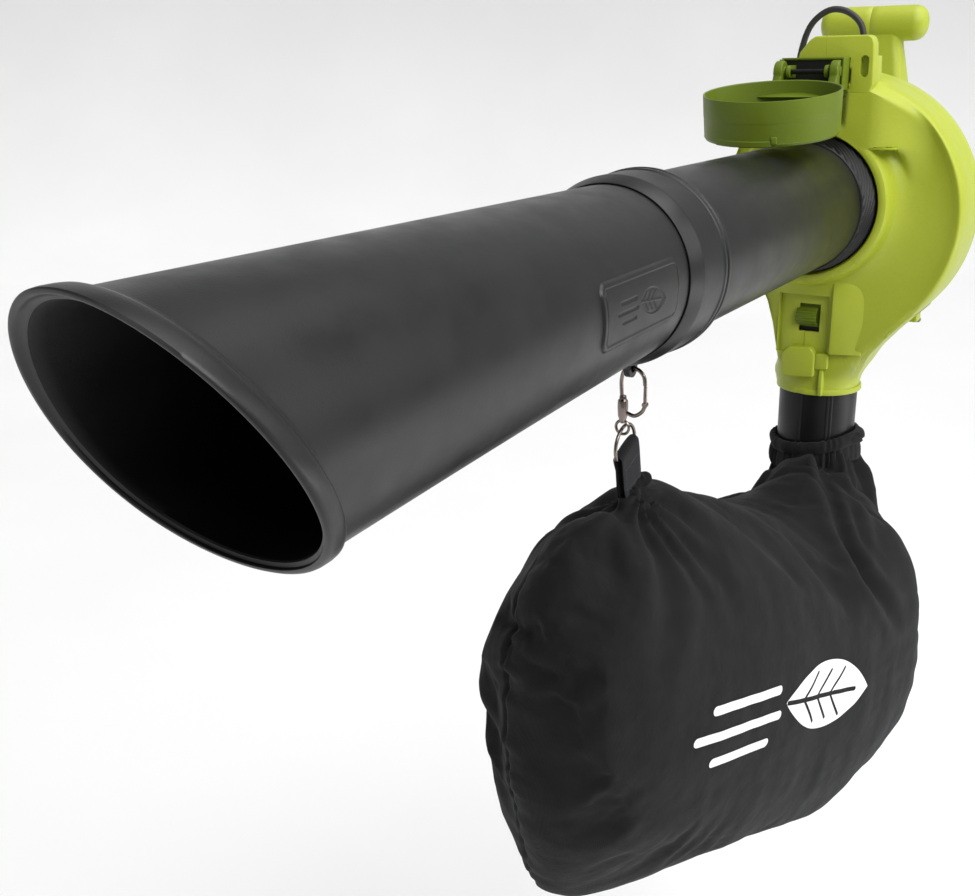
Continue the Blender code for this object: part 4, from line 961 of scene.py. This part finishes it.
def intake_cover():
    """Cup-shaped cover lying open on the tube, with its hinge ears."""
    r, floor = CUP_R, -CUP_DEPTH
    outer = eased([(0.0, r - 0.002), (0.0004, r - 0.0001), (-0.0192, r - 0.0004), (-0.02, r - 0.0006),
                   (-0.0375, r - 0.001), (-0.0378, r - 0.0008), (floor, r - 0.0022), (floor, 0.044),
                   (floor + 0.0015, 0.04), (floor + 0.01, 0.026), (floor + 0.0135, 0.01),
                   (floor + 0.014, 0.0001), (floor + 0.0162, 0.0001), (floor + 0.0158, 0.011),
                   (floor + 0.012, 0.0275), (floor + 0.004, 0.042), (floor + 0.0032, 0.046),
                   (floor + 0.0032, r - 0.0075), (floor + 0.006, r - 0.006), (floor + 0.0062, r - 0.0034)],
                  0.0008)
    cup = turned("cup", outer, "Z", steps=160)
    hump = []
    for share, height in ((1.0, 0.0), (0.97, 0.0026), (0.82, 0.0072), (0.5, 0.0106), (0.0001, 0.0122)):
        hump.append([(share * 0.026 * math.cos(a) + 0.006, share * 0.02 * math.sin(a) - 0.002,
                      floor + 0.0118 + height) for a in full_turn(48)])
    parts = [cup, loft("hump", hump)]
    lip = []
    lip_section = mm(((-3, 6.2), (-0.9, 6), (-0.2, 5.2), (-0.2, 1), (-0.9, 0.2), (-3, 0)))
    first, last = math.radians(147), math.radians(199)
    for k in range(41):
        a = first + (last - first) * k / 40
        lip.append([((r + proud) * math.cos(a), (r + proud) * math.sin(a), floor + up)
                    for proud, up in lip_section])
    parts.append(loft("lip", lip))
    lug = block("lug", (-r - 0.0006, -0.0028, floor + 0.003), (-r + 0.0035, 0.0028, floor + 0.0095), 0.0009)
    lug.rotation_euler = (0, 0, math.radians(21))
    parts.append(lug)
    for part in parts:
        part.matrix_world = (Matrix.Translation(CUP_CENTRE) @ Matrix.Rotation(CUP_TILT, 4, "Y")
                             @ part.rotation_euler.to_matrix().to_4x4())
    floor_strip = mm([(-140, 111.2), (-70, 111.2), (-70, 115.2), (-129, 115.2)])
    parts.append(prism("strip", floor_strip, -0.0335, 0.0335, "Y", 0.001, 3))
    for y in (-0.0285, 0.0285):
        ear = arc((HINGE_X, HINGE_Z), 0.0108, 200, -20, 19)
        ear += [(HINGE_X + 0.0112, 0.115), (HINGE_X - 0.018, 0.115)]
        parts.append(prism("ear", ear, y - 0.0045, y + 0.0045, "Y", 0.0016, 3))
        boss = arc((HINGE_X, HINGE_Z), 0.0052, 0, 342, 20)
        parts.append(prism("boss", boss, y - 0.0056, y + 0.0056, "Y", 0.0008, 2))
    place(join("intake_cover_shell", parts), GREEN, "cover", nodes=["intake_cover"],
          slot="dark_green_plastic", sharp=32)


hinge_tower()
intake_cover()


# ---------------------------------------------------------------- T grip
def front_grip():
    """Each half of the T grip: the bar and its neck, with a fine joint line between the halves."""
    x, _, z = GRIP_CENTRE
    for side, node in ((1, "front_grip_left"), (-1, "front_grip_right")):
        end = GRIP_HALF
        profile = [(0.0001, 0.0001), (0.0001, GRIP_R - 0.0005), (0.0006, GRIP_R - 0.0001), (0.03, GRIP_R),
                   (end - 0.017, GRIP_R - 0.0001), (end - 0.0105, GRIP_R - 0.0007),
                   (end - 0.0055, GRIP_R - 0.0032), (end - 0.0022, GRIP_R - 0.0068),
                   (end - 0.0005, GRIP_R - 0.0112), (end, 0.006), (end, 0.0001)]
        profile = profile[:2] + smooth_profile(profile[2:], 4)
        bar = turned("bar", profile, "Y", (x, 0, z), steps=96, closed=False)
        bar.scale = (1, side, 1)
        rings = []
        for height, width, front, back in mm(((40, 45.5, 119, 188), (75, 44, 124, 180),
                                              (110, 41.5, 128.5, 175), (140, 37, 132.5, 169),
                                              (160, 33.5, 134.5, 166), (172, 33.5, 134.5, 166),
                                              (182, 34.5, 134, 166.5))):
            corner = 0.01
            ring = [(front, 0.0002), (back, 0.0002)]
            ring += arc((back - corner, width - corner), corner, 0, 90, 8)
            ring += arc((front + corner, width - corner), corner, 90, 180, 8)
            rings.append([(u, v, height) for u, v in ring])
        smooth_rings = [smooth_points([ring[i] for ring in rings], 4) for i in range(len(rings[0]))]
        neck = loft("neck", list(zip(*smooth_rings)))
        neck.scale = (1, side, 1)
        piece = join("front_grip_" + ("left" if side > 0 else "right") + "_shell", [bar, neck])
        if side < 0:
            piece.data.flip_normals()
        place(piece, LIME, nodes=[node], slot="lime_housing", sharp=50)


front_grip()


# ---------------------------------------------------------------- collecting bag
def bag_point(unit, shrink):
    """Map a point of the unit sphere (X is the bag's length) onto the filled bag, as the CAD source does."""
    length = math.asin(max(-1.0, min(1.0, unit.x)))
    round_angle = math.atan2(unit.z, unit.y)
    ahead = math.copysign(abs(math.sin(length)) ** BAG_END_POWER, unit.x)
    girth = abs(math.cos(length)) ** BAG_END_POWER
    x = (BAG_HALF.x - shrink) * ahead
    y = (BAG_HALF.y - shrink) * (1 + BAG_TAPER_Y * ahead) * girth * math.cos(round_angle)
    z = (BAG_HALF.z - shrink) * (1 + BAG_TAPER_Z * ahead) * girth * math.sin(round_angle)
    point = BAG_CENTRE + Vector((x, y + BAG_SLOPE_Y * x, z + BAG_SLOPE_Z * x))
    if unit.z > 0:
        share = math.sin(round_angle) ** 2
        point.z -= BAG_DIP_DEPTH * share * math.exp(-((point.x - BAG_DIP_X) / BAG_DIP_WIDTH) ** 2)
    return point


def bag_blank():
    """One even skin over the filled bag and its neck."""
    bm = bmesh.new()
    bmesh.ops.create_uvsphere(bm, u_segments=72, v_segments=48, radius=1.0)
    for vert in bm.verts:
        vert.co = bag_point(Vector((vert.co.z, vert.co.y, vert.co.x)).normalized(), BAG_SHRINK)
    body = object_from("bag_body", bm)
    x, y = OUTLET_AXIS
    rings = []
    for z, half_x, half_y in smooth_points([(BAG_TOP_Z, 0.0485, 0.0485), (BAG_NECK_Z - 0.012, 0.0485, 0.049),
                                            (-0.345, 0.048, 0.076), (-0.4, 0.04, 0.1)], 6):
        rings.append([(x - 0.3 * (0.049 - half_x) + half_x * math.cos(a), y + half_y * math.sin(a), z)
                      for a in full_turn(64)])
    tab = [[(TAB_FOOT_X + share * 0.02 * math.cos(a), RING_Y + share * 0.01 * math.sin(a),
             z + 0.2 * share * 0.02 * math.cos(a)) for a in full_turn(24)]
           for z, share in ((-0.1825, 0.55), (-0.187, 0.85), (-0.196, 1.3), (-0.208, 1.9), (-0.235, 2.9))]
    bag = join("bag_cloth", [body, loft("bag_throat", rings), loft("bag_peak", tab)])
    step = bag.modifiers.new("even_skin", "REMESH")
    step.mode = "VOXEL"
    step.voxel_size = BAG_VOXEL
    return join("bag_cloth", [bag])


def swell(bag):
    """Let the air in the bag stretch its cloth, held at the neck and the tab, and keep the moves small."""
    held = bag.vertex_groups.new(name="held")
    for vert in bag.data.vertices:
        neck = math.hypot(vert.co.x - OUTLET_AXIS[0], vert.co.y - OUTLET_AXIS[1])
        near_neck = smoothstep(-0.33, -0.295, vert.co.z) * smoothstep(0.09, 0.06, neck)
        near_tab = smoothstep(0.055, 0.028, (vert.co - Vector((TAB_FOOT_X, RING_Y, -0.19))).length)
        held.add([vert.index], max(near_neck, near_tab), "REPLACE")
    before = [vert.co.copy() for vert in bag.data.vertices]
    step = bag.modifiers.new("air", "CLOTH")
    cloth = step.settings
    cloth.quality = 5
    cloth.mass = 0.25
    cloth.tension_stiffness = cloth.compression_stiffness = 18
    cloth.shear_stiffness = 8
    cloth.bending_stiffness = 0.25
    cloth.shrink_min = -0.055
    cloth.use_pressure = True
    cloth.uniform_pressure_force = 4.0
    cloth.vertex_group_mass = "held"
    cloth.effector_weights.gravity = 0.0
    step.collision_settings.use_collision = False
    scene = bpy.context.scene
    for number in range(1, CLOTH_FRAMES + 1):
        scene.frame_set(number)
    bpy.context.view_layer.update()
    after = bag.evaluated_get(bpy.context.evaluated_depsgraph_get()).data
    for vert, old, new in zip(bag.data.vertices, before, after.vertices):
        move = new.co - old
        vert.co = old + move * min(1.0, BAG_MOVE_CAP / max(move.length, 0.000001))
    bag.modifiers.clear()
    scene.frame_set(1)


def polyline_distance(points, line):
    """Distance of each point from a line of points, and how far along it the nearest place is, 0 to 1."""
    best = np.full(len(points), 9.0)
    along = np.zeros(len(points))
    spans = len(line) - 1
    for k in range(spans):
        start, step = np.array(line[k]), np.array(line[k + 1]) - np.array(line[k])
        t = np.clip((points - start) @ step / (step @ step), 0, 1)
        away = np.linalg.norm(points - start - t[:, None] * step, axis=1)
        nearer = away < best
        best[nearer] = away[nearer]
        along[nearer] = ((k + t) / spans)[nearer]
    return best, along


def eased_step(low, high, value):
    t = np.clip((value - low) / (high - low), 0, 1)
    return t * t * (3 - 2 * t)


def bag_relief(points):
    """Height of the cloth's folds, gathers and perimeter seam at each point."""
    x, y, z = points.T
    height = np.zeros(len(points))

    # gathers that hang from the elastic hem and open out into broad folds
    angle = np.arctan2(y - OUTLET_AXIS[1], x - OUTLET_AXIS[0])
    below = BAG_TOP_Z - z
    away = np.hypot(x - OUTLET_AXIS[0], y - OUTLET_AXIS[1])
    near_neck = eased_step(0.2, 0.075, away)
    fine = np.cos(23 * angle + 1.7 * np.sin(3 * angle + 0.6) + 0.9 * np.sin(7 * angle))
    broad = np.cos(9 * angle + 1.3 * np.sin(2 * angle + 1.1) + 0.8)
    height += near_neck * (0.0026 * fine * np.exp(-np.maximum(below, 0) / 0.034))
    down = np.maximum(below, 0) / 0.055
    height += near_neck * 0.005 * broad * down * np.exp(1 - down)

    # creases pulled from the hem, from the tab and at the far end
    for line, depth, width, ridge in BAG_CREASES:
        off, along = polyline_distance(points, line)
        ends = eased_step(0.0, 0.16, along + 0.06) * eased_step(1.0, 0.62, along)
        height -= depth * ends * np.exp(-(off / width) ** 2)
        height += ridge * ends * np.exp(-((off - 2.1 * width) / (1.2 * width)) ** 2)

    # short pulls that spread from the sewn tab
    tab = np.array([TAB_FOOT_X, RING_Y, -0.19])
    reach = np.linalg.norm(points - tab, axis=1)
    spread = np.arctan2(z - tab[2], x - tab[0])
    height += 0.0032 * np.cos(13 * spread + 0.7) * (reach / 0.035) * np.exp(1 - reach / 0.035)

    # perimeter seam: a sewn groove with the cloth puckered on both sides of it
    rel = points - np.array(BAG_CENTRE)
    ahead = rel[:, 0] / BAG_HALF.x
    side = (rel[:, 1] - BAG_SLOPE_Y * rel[:, 0]) / (BAG_HALF.y * (1 + BAG_TAPER_Y * ahead))
    up = (rel[:, 2] - BAG_SLOPE_Z * rel[:, 0]) / (BAG_HALF.z * (1 + BAG_TAPER_Z * ahead))
    turn = np.arctan2(up, ahead)
    seam = (side + 0.02 + 0.47 * ahead) * BAG_HALF.y * 0.9
    open_side = eased_step(0.86, 0.45, up) * eased_step(0.0, 0.15, ahead ** 2 + up ** 2)
    ripple = np.cos(76 * turn + 2.2 * np.sin(5 * turn) + 1.4 * np.sin(11 * turn))
    loose = open_side * (1 - 0.55 * eased_step(-0.35, -0.75, ahead))
    height -= open_side * 0.003 * np.exp(-(seam / 0.003) ** 2)
    height += loose * 0.0017 * ripple * np.exp(-np.abs(seam) / 0.017)
    height += loose * 0.003 * np.cos(25 * turn + 1.8 * np.sin(4 * turn)) * np.exp(-np.abs(seam) / 0.036)
    return height


def sagged(points):
    """Slack cloth drops where nothing holds it up, and the far lower end is filled out."""
    out = points.copy()
    for centre, radius, drop in BAG_DROPS:
        away = np.linalg.norm(points - np.array(centre), axis=1)
        out[:, 2] -= drop * np.exp(-(away / radius) ** 2)
    for centre, radius, push in BAG_FILLS:
        away = np.linalg.norm(points - np.array(centre), axis=1)
        out += np.exp(-(away / radius) ** 2)[:, None] * np.array(push)
    return out


def soften(points, scale, seed):
    """Slow waves in the cloth, longer up and down than across."""
    out = np.zeros(len(points))
    for k in range(7):
        tilt = 0.9 * k + seed
        wave = np.array([math.cos(tilt), 0.7 * math.sin(1.7 * tilt), 0.38 * math.sin(tilt)])
        out += np.sin(points @ wave * (1 + 0.31 * k) / scale + 1.3 * k * seed) / (1 + 0.25 * k)
    return out / 3.2


def collecting_bag():
    """Black cloth bag, filled with air, with gathers, creases and a puckered seam."""
    bag = bag_blank()
    swell(bag)
    finer = bag.modifiers.new("finer", "SUBSURF")
    finer.levels = finer.render_levels = 1
    bag = join("bag_cloth", [bag])
    count = len(bag.data.vertices)
    points = np.empty(count * 3)
    normals = np.empty(count * 3)
    bag.data.vertices.foreach_get("co", points)
    bag.data.vertices.foreach_get("normal", normals)
    points, normals = points.reshape(-1, 3), normals.reshape(-1, 3)
    height = bag_relief(points) + 0.0022 * soften(points, 0.034, 1.0) + 0.0007 * soften(points, 0.011, 2.3)
    bag.data.vertices.foreach_set("co", sagged(points + normals * height[:, None]).ravel())
    bm = bmesh.new()
    bm.from_mesh(bag.data)
    lid = [f for f in bm.faces if f.calc_center_median().z > BAG_TOP_Z - 0.004
           and math.hypot(f.calc_center_median().x - OUTLET_AXIS[0], f.calc_center_median().y) < 0.07]
    bmesh.ops.delete(bm, geom=lid, context="FACES")
    bm.to_mesh(bag.data)
    bm.free()
    return bag


def bag_print(bag):
    """A generic leaf with stripes of moving air, printed white on the bag's near side."""
    tree = BVHTree.FromObject(bag, bpy.context.evaluated_depsgraph_get())
    columns, rows = 330, 104
    bm = bmesh.new()
    grid = {}
    for i in range(columns + 1):
        for j in range(rows + 1):
            u, v = (i / columns - 0.5) * PRINT_LENGTH, (j / rows - 0.5) * PRINT_HEIGHT
            depth = print_depth(u, v)
            if depth > PRINT_STEP:
                continue
            if abs(depth) < 0.75 * PRINT_STEP:
                slope = Vector((print_depth(u + 0.0001, v) - depth,
                                print_depth(u, v + 0.0001) - depth)) / 0.0001
                if slope.length > 0.3:
                    u, v = Vector((u, v)) - slope.normalized() * depth / slope.length
                    depth = 0.0
            if depth > 0.0:
                continue
            lean = Vector((math.cos(PRINT_TURN), 0, math.sin(PRINT_TURN)))
            rise = Vector((-math.sin(PRINT_TURN), 0, math.cos(PRINT_TURN)))
            start = PRINT_CENTRE + lean * u + rise * v
            hit, normal = tree.ray_cast(start, Vector((0, 1, 0)))[:2]
            if hit is not None:
                grid[i, j] = bm.verts.new(hit + normal * 0.0004)
    for i, j in list(grid):
        corners = [grid.get(key) for key in ((i, j), (i + 1, j), (i + 1, j + 1), (i, j + 1))]
        corners = [c for c in corners if c is not None]
        if len(corners) > 2:
            bm.faces.new(corners)
    loose = [v for v in bm.verts if not v.link_faces]
    bmesh.ops.delete(bm, geom=loose, context="VERTS")
    place(object_from("bag_print", bm, outward=False), PRINT, sharp=60)


def print_depth(u, v):
    return emblem_depth(u / PRINT_SCALE, v / PRINT_SCALE) * PRINT_SCALE


def bag_hem():
    """Elastic hem gathered on to the adapter, slanting down towards the far side."""
    section = mm([(-4, 44.2), (0.4, 45), (1.2, 46.8), (0.6, 49), (-2.2, 50.7), (-6.2, 51.3), (-10, 50.6),
                  (-12.4, 49), (-14, 48.2), (-16.2, 48.6), (-20.5, 49.6), (-25, 50), (-30, 50), (-33, 49)])
    rings = []
    for drop, radius in smooth_profile(section, 3):
        ring = []
        free = smoothstep(-0.0115, -0.016, drop)
        for a in full_turn(420):
            towards = -math.sin(a)
            top = -0.2705 + 0.0065 * towards - 0.0035 * smoothstep(-0.3, -1.0, math.cos(a))
            fine = math.cos(34 * a + 2.4 * math.sin(3 * a) + 1.7 * math.sin(8 * a + 1.0))
            fine *= 0.55 + 0.45 * math.sin(5 * a + 2.0 * math.sin(2 * a))
            coarse = math.cos(12 * a + 1.9 * math.sin(2 * a + 0.5))
            gather = fine * (0.0004 + 0.0013 * free) + coarse * 0.0006
            bulge = 0.0058 * math.exp(-((math.remainder(a - math.radians(268), 2 * math.pi)) / 0.3) ** 2)
            bulge += 0.003 * math.exp(-((math.remainder(a - math.radians(70), 2 * math.pi)) / 0.45) ** 2)
            fold = 0.0022 * math.exp(-((drop + 0.0062 + 0.004 * coarse) / 0.0016) ** 2) * (bulge > 0.0012)
            grip = smoothstep(0.045, 0.048, radius)
            r = radius + (gather + bulge * (1 - 0.35 * free) - fold) * grip
            ring.append((OUTLET_AXIS[0] + r * math.cos(a), OUTLET_AXIS[1] + r * math.sin(a),
                         top + drop + 0.0007 * fine * (1 - free)))
        rings.append(ring)
    return place(loft("bag_hem", rings, caps=False), HEM, nodes=["bag_sleeve"], slot="black_fabric", sharp=70)


def leaned(point):
    """The bag pulls the ring and the webbing over towards the neck: turn a point about the hook's eye."""
    x, y, z = point
    turn = RING_LEAN * smoothstep(-0.205, -0.16, z)
    across, down = x - HOOK_X, z - RING_PIVOT_Z
    lower = smoothstep(-0.16, -0.2, z)
    along = HOOK_X + across * math.cos(turn) - down * math.sin(turn) * (1 - lower) + 0.018 * lower
    height = (RING_PIVOT_Z + 0.0008 * (1 - lower) + down * (1 - (1 - math.cos(turn)) * (1 - lower))
              + across * math.sin(turn))
    return Vector((along, y, height))


def webbing_loop():
    """Webbing folded over the ring's bar, sewn through and let into the bag's top."""
    path = [(RING_Y - 0.003, -0.1965), (RING_Y - 0.0031, -0.18), (RING_Y - 0.003, -0.164),
            (RING_Y - 0.0036, -0.1565)]
    path += arc((RING_Y, RING_Z), 0.0038, 190, -10, 15)
    path += [(RING_Y + 0.0036, -0.1565), (RING_Y + 0.003, -0.164), (RING_Y + 0.0031, -0.18),
             (RING_Y + 0.003, -0.1965)]
    line = [Vector((0, y, z)) for y, z in path]
    rings = []
    columns = 24
    for i in range(columns + 1):
        share = i / columns * 2 - 1
        ring = []
        for side in (1, -1):
            order = range(len(line)) if side > 0 else range(len(line) - 1, -1, -1)
            for k in order:
                ahead = (line[min(k + 1, len(line) - 1)] - line[max(k - 1, 0)]).normalized()
                out = Vector((0, -ahead.z, ahead.y)) * side
                thick = 0.00085 * (1 - 0.45 * abs(share) ** 12)
                here = line[k] + out * thick
                at_bar = smoothstep(-0.16, -0.15, here.z)
                pinch = 1 - 0.16 * smoothstep(-0.176, -0.196, here.z) - 0.05 * at_bar
                sag = 0.0012 * share * share * at_bar
                ring.append((HOOK_X + share * 0.0165 * pinch, here.y, here.z - sag))
        rings.append([leaned(p) for p in ring])
    place(loft("webbing_loop", rings), WEBBING, nodes=["webbing_tab"], slot="black_fabric", sharp=50)
    stitches = []
    for side in (-1, 1):
        y = RING_Y + side * 0.0039
        rows = [((HOOK_X - 0.0125 + 0.0028 * k, z), (HOOK_X - 0.0107 + 0.0028 * k, z))
                for z in (-0.1655, -0.183) for k in range(9)]
        rows += [((HOOK_X + edge, -0.1675 - 0.0028 * k), (HOOK_X + edge, -0.1693 - 0.0028 * k))
                 for edge in (-0.0128, 0.0128) for k in range(6)]
        for (x0, z0), (x1, z1) in rows:
            middle = ((x0 + x1) / 2, y + side * 0.00035, (z0 + z1) / 2)
            line = [(x0, y - side * 0.0003, z0), middle, (x1, y - side * 0.0003, z1)]
            stitches.append(sweep("stitch", [leaned(p) for p in line], [0.00022, 0.00034, 0.00022], 8))
    place(join("tab_stitches", stitches), THREAD)

BAG = collecting_bag()
bag_print(BAG)
place(BAG, FABRIC, nodes=["bag"], slot="black_fabric", sharp=75)
bag_hem()
webbing_loop()


# ---------------------------------------------------------------- ring, snap hook and its gate
def shifted(points, centre):
    return [Vector(p) + Vector(centre) for p in points]


def hanger():
    """D-ring, faceted snap hook with its wire bow and eye, and the sprung gate."""
    half = 0.0178
    bow = [(half * math.cos(a), 0, 0.004 + 0.0165 * math.sin(a))
           for a in (math.pi * k / 32 for k in range(33))]
    loop = [(half, 0, 0.002), (half - 0.0006, 0, 0.0006), (half - 0.002, 0, 0)]
    loop += [(-half + 0.002, 0, 0), (-half + 0.0006, 0, 0.0006), (-half, 0, 0.002)]
    centre, lean = Vector((HOOK_X, RING_Y, RING_Z + 0.02)), Matrix.Rotation(-RING_LEAN, 3, "Y")
    wire = [centre + lean @ (Vector(p) - Vector((0, 0, 0.019))) for p in bow + loop[::-1]]
    ring = sweep("d_ring_wire", wire, 0.0015, 16, closed=True)
    place(ring, NICKEL, "ring", nodes=["d_ring"], slot="dark_nickel")
    top = (HOOK_X, 0, -0.0805)
    route = mm([(0, -13, -13), (0, -11.8, -6), (0, -7, -1), (0, 0, 0), (0, 5.5, -3.5), (0, 7.5, -11),
                (0, 7.2, -20), (0, 6.5, -27.5)])
    parts = [sweep("bow", shifted(smooth_points(route, 8), top), HOOK_WIRE_R, 16)]
    profile = mm([(-23.2, 0.1), (-23.2, 2.6), (-24.6, 3), (-26.2, 3.1), (-27.5, 4.2), (-33, 4.4), (-40, 4),
                  (-44.6, 2.6), (-46.2, 2.2), (-46.6, 0.1)])
    barrel = turned("barrel", [(top[2] + s, r) for s, r in profile], "Z", (HOOK_X, RING_Y, 0), steps=10,
                    closed=False)
    parts.append(round_edges(barrel, 0.0003, 2, 25))
    arm = mm([(0, 4, -37), (0, -4, -39), (0, -10.5, -35), (0, -13.2, -30)])
    parts.append(sweep("arm", shifted(smooth_points(arm, 8), top), HOOK_WIRE_R, 16))
    eye = [(0, EYE_R * math.sin(a), EYE_R * math.cos(a)) for a in full_turn(40)]
    centre = (HOOK_X, RING_Y, top[2] - EYE_DROP)
    parts.append(sweep("eye", shifted(eye, centre), 0.0012, 12, closed=True))
    knuckle = turned("knuckle", [(HOOK_X + s, r) for s, r in mm(((-2.2, 0.1), (-2.2, 1.8), (-1.8, 2.2),
                                                                 (1.8, 2.2), (2.2, 1.8), (2.2, 0.1)))],
                     "X", (0, KNUCKLE_Y, top[2] - 0.0286), steps=24, closed=False)
    parts.append(knuckle)
    place(join("snap_hook_body", parts), NICKEL, "hook", nodes=["snap_hook"], slot="dark_nickel", sharp=30)
    bar = mm([(0, 0, 15.2), (0, 0, 14.8), (0, 0, 8), (0, 0, 0.6), (0, 0, 0)])
    gate = sweep("gate_wire", shifted(bar, (HOOK_X, KNUCKLE_Y, top[2] - 0.0286)),
                 [0.0008, 0.0014, 0.0015, 0.0015, 0.001], 16)
    place(gate, NICKEL, "gate", nodes=["hook_gate"], slot="dark_nickel")


hanger()


# ---------------------------------------------------------------- power cord, strain relief and plug
def power_cord():
    """Short round cord from the motor's gland, over the tower and down to its plug."""
    exit_x, exit_y = CORD_ROUTE[0][:2]
    low = 0.1053
    profile = [(low, 0.0001), (low, 0.0066), (low + 0.0008, 0.007), (low + 0.0044, 0.007),
               (low + 0.0052, 0.0064)]
    for k in range(8):
        start = low + 0.007 + 0.0037 * k
        r = 0.0066 - 0.00027 * k
        profile += [(start, r - 0.0011), (start + 0.0004, r), (start + 0.0022, r - 0.0001),
                    (start + 0.0026, r - 0.0012)]
    profile += mm([(138, 4.3), (142, 4.1), (142.5, 3.7), (142.5, 3)])
    place(turned("strain_relief_sleeve", profile, "Z", (exit_x, exit_y, 0), steps=48, closed=False), RUBBER,
          nodes=["strain_relief"], slot="black_rubber")
    route = smooth_points(CORD_ROUTE, 5)
    data = bpy.data.curves.new("power_cord_line", "CURVE")
    data.dimensions = "3D"
    data.bevel_depth = CORD_R
    data.bevel_resolution = 6
    data.use_fill_caps = True
    spline = data.splines.new("POLY")
    spline.points.add(len(route) - 1)
    for point, here in zip(spline.points, route):
        point.co = (*here, 1.0)
    spline.use_smooth = True
    cord = new_object("power_cord_line", data)
    place(cord, RUBBER, nodes=["power_cord"], slot="black_rubber")
    x, y, z = CORD_ROUTE[-1]
    profile = [(z - 0.0003, 0.0034), (z - 0.0003, 0.0046), (z - 0.0012, 0.005)]
    for k in range(4):
        start = z - 0.0022 - 0.0036 * k
        r = 0.0052 + 0.0005 * k
        profile += [(start, r), (start - 0.0016, r + 0.0002), (start - 0.002, r - 0.0009),
                    (start - 0.0028, r - 0.0008)]
    shell = mm([(18, 8.5), (20, 11.2), (21.5, 12), (26, 11.2), (33, 11), (38.5, 11.8), (42, 12.4),
                (43.6, 12.2), (44, 11.4), (44, 0.1)])
    profile += [(z - drop, r) for drop, r in shell]

    def grips(angle, station, radius):
        flat = smoothstep(0.01, 0.0112, radius) * (z - 0.04 < station < z - 0.0205)
        return -0.0012 * flat * max(0.0, math.cos(2 * angle)) ** 2

    body = turned("plug_shell", profile, "Z", (x, y, 0), steps=96, closed=False, relief=grips)
    place(body, RUBBER, nodes=["plug_body"], slot="black_rubber", sharp=40)
    for name, offset in (("plug_blade_left", 0.0063), ("plug_blade_right", -0.0063)):
        outline = [(x + u, z - v) for u, v in mm([(-3.2, 44.3), (-3.2, 60), (-2, 61.9), (2, 61.9), (3.2, 60),
                                                  (3.2, 44.3)])]
        middle = y + offset
        blade = prism(name + "_pin", outline, middle - 0.00075, middle + 0.00075, "Y")
        hole = arc((x, z - 0.0575), 0.0013, 0, 345, 24)
        cut(blade, prism("blade_hole", hole, middle - 0.002, middle + 0.002, "Y"))
        place(round_edges(blade, 0.00025, 2), STEEL, nodes=[name], slot="steel")


power_cord()


# ---------------------------------------------------------------- floor, backdrop and lights
def floor_material():
    build = Build("floor_paint")
    build.link(build.mix(build.noise(0.8, 3), (0.86, 0.86, 0.86), (0.9, 0.9, 0.9)),
               build.shader.inputs["Base Color"])
    build.shader.inputs["Roughness"].default_value = 0.9
    build.shader.inputs["Specular IOR Level"].default_value = 0.1
    return build.mat


def make_floor():
    """A pale floor that curves up into a backdrop far behind the object."""
    curve = [(6.0 + 2.0 * math.sin(a), 2.0 - 2.0 * math.cos(a))
             for a in (math.pi / 2 * k / 12 for k in range(1, 13))]
    profile = [(-4.0, 0.0), (6.0, 0.0)] + curve + [(8.0, 8.0)]
    aim = Vector((0.8, 0.51, 0)).normalized()
    side = Vector((-aim.y, aim.x, 0))
    rings = [[aim * along + side * across + Vector((0, 0, FLOOR_Z + up)) for across in (-9.0, 9.0)]
             for along, up in profile]
    floor = loft("floor", rings, closed=False, caps=False)
    floor.data.materials.append(floor_material())
    floor.data.shade_smooth()


def area_light(name, place_at, aim, size, power, shape=(1.0, 1.0)):
    data = bpy.data.lights.new(name, "AREA")
    data.shape = "RECTANGLE"
    data.size, data.size_y = size * shape[0], size * shape[1]
    data.energy = power
    lamp = new_object(name, data)
    lamp.location = place_at
    lamp.rotation_euler = (Vector(aim) - Vector(place_at)).to_track_quat("-Z", "Y").to_euler()


def sun_light(name, towards, strength, spread):
    """A broad sky-like light that reaches the whole floor evenly."""
    data = bpy.data.lights.new(name, "SUN")
    data.energy = strength
    data.angle = math.radians(spread)
    lamp = new_object(name, data)
    lamp.rotation_euler = Vector(towards).to_track_quat("-Z", "Y").to_euler()


def make_world():
    """White for the camera, softer as a light."""
    world = bpy.data.worlds.new("studio")
    bpy.context.scene.world = world
    world.use_nodes = True
    nodes, links = world.node_tree.nodes, world.node_tree.links
    soft = nodes["Background"]
    soft.inputs["Color"].default_value = (1.0, 1.0, 1.0, 1.0)
    soft.inputs["Strength"].default_value = WORLD_STRENGTH
    seen = nodes.new("ShaderNodeBackground")
    seen.inputs["Color"].default_value = (1.0, 1.0, 1.0, 1.0)
    seen.inputs["Strength"].default_value = 1.0
    choose = nodes.new("ShaderNodeMixShader")
    links.new(nodes.new("ShaderNodeLightPath").outputs["Is Camera Ray"], choose.inputs["Fac"])
    links.new(soft.outputs["Background"], choose.inputs[1])
    links.new(seen.outputs["Background"], choose.inputs[2])
    links.new(choose.outputs["Shader"], nodes["World Output"].inputs["Surface"])


def make_lights():
    sun_light("sky_panel", (0.1, 0.42, -0.9), 2.15, 75)
    area_light("overhead_softbox", (0.2, -0.7, 2.2), (-0.3, 0.0, -0.2), 1.6, 16)
    area_light("front_softbox", (-1.15, -1.25, 0.95), (-0.1, 0.0, -0.05), 0.9, 18)
    area_light("near_side_softbox", (0.6, -2.4, 0.9), (-0.3, 0.0, -0.2), 1.5, 16)
    area_light("near_side_strip", (0.33, -2.2, -0.95), (-0.65, 0.0, -0.18), 1.0, 9, (1.5, 0.4))
    make_world()
    bpy.context.scene.view_settings.view_transform = "Standard"


make_floor()
make_lights()
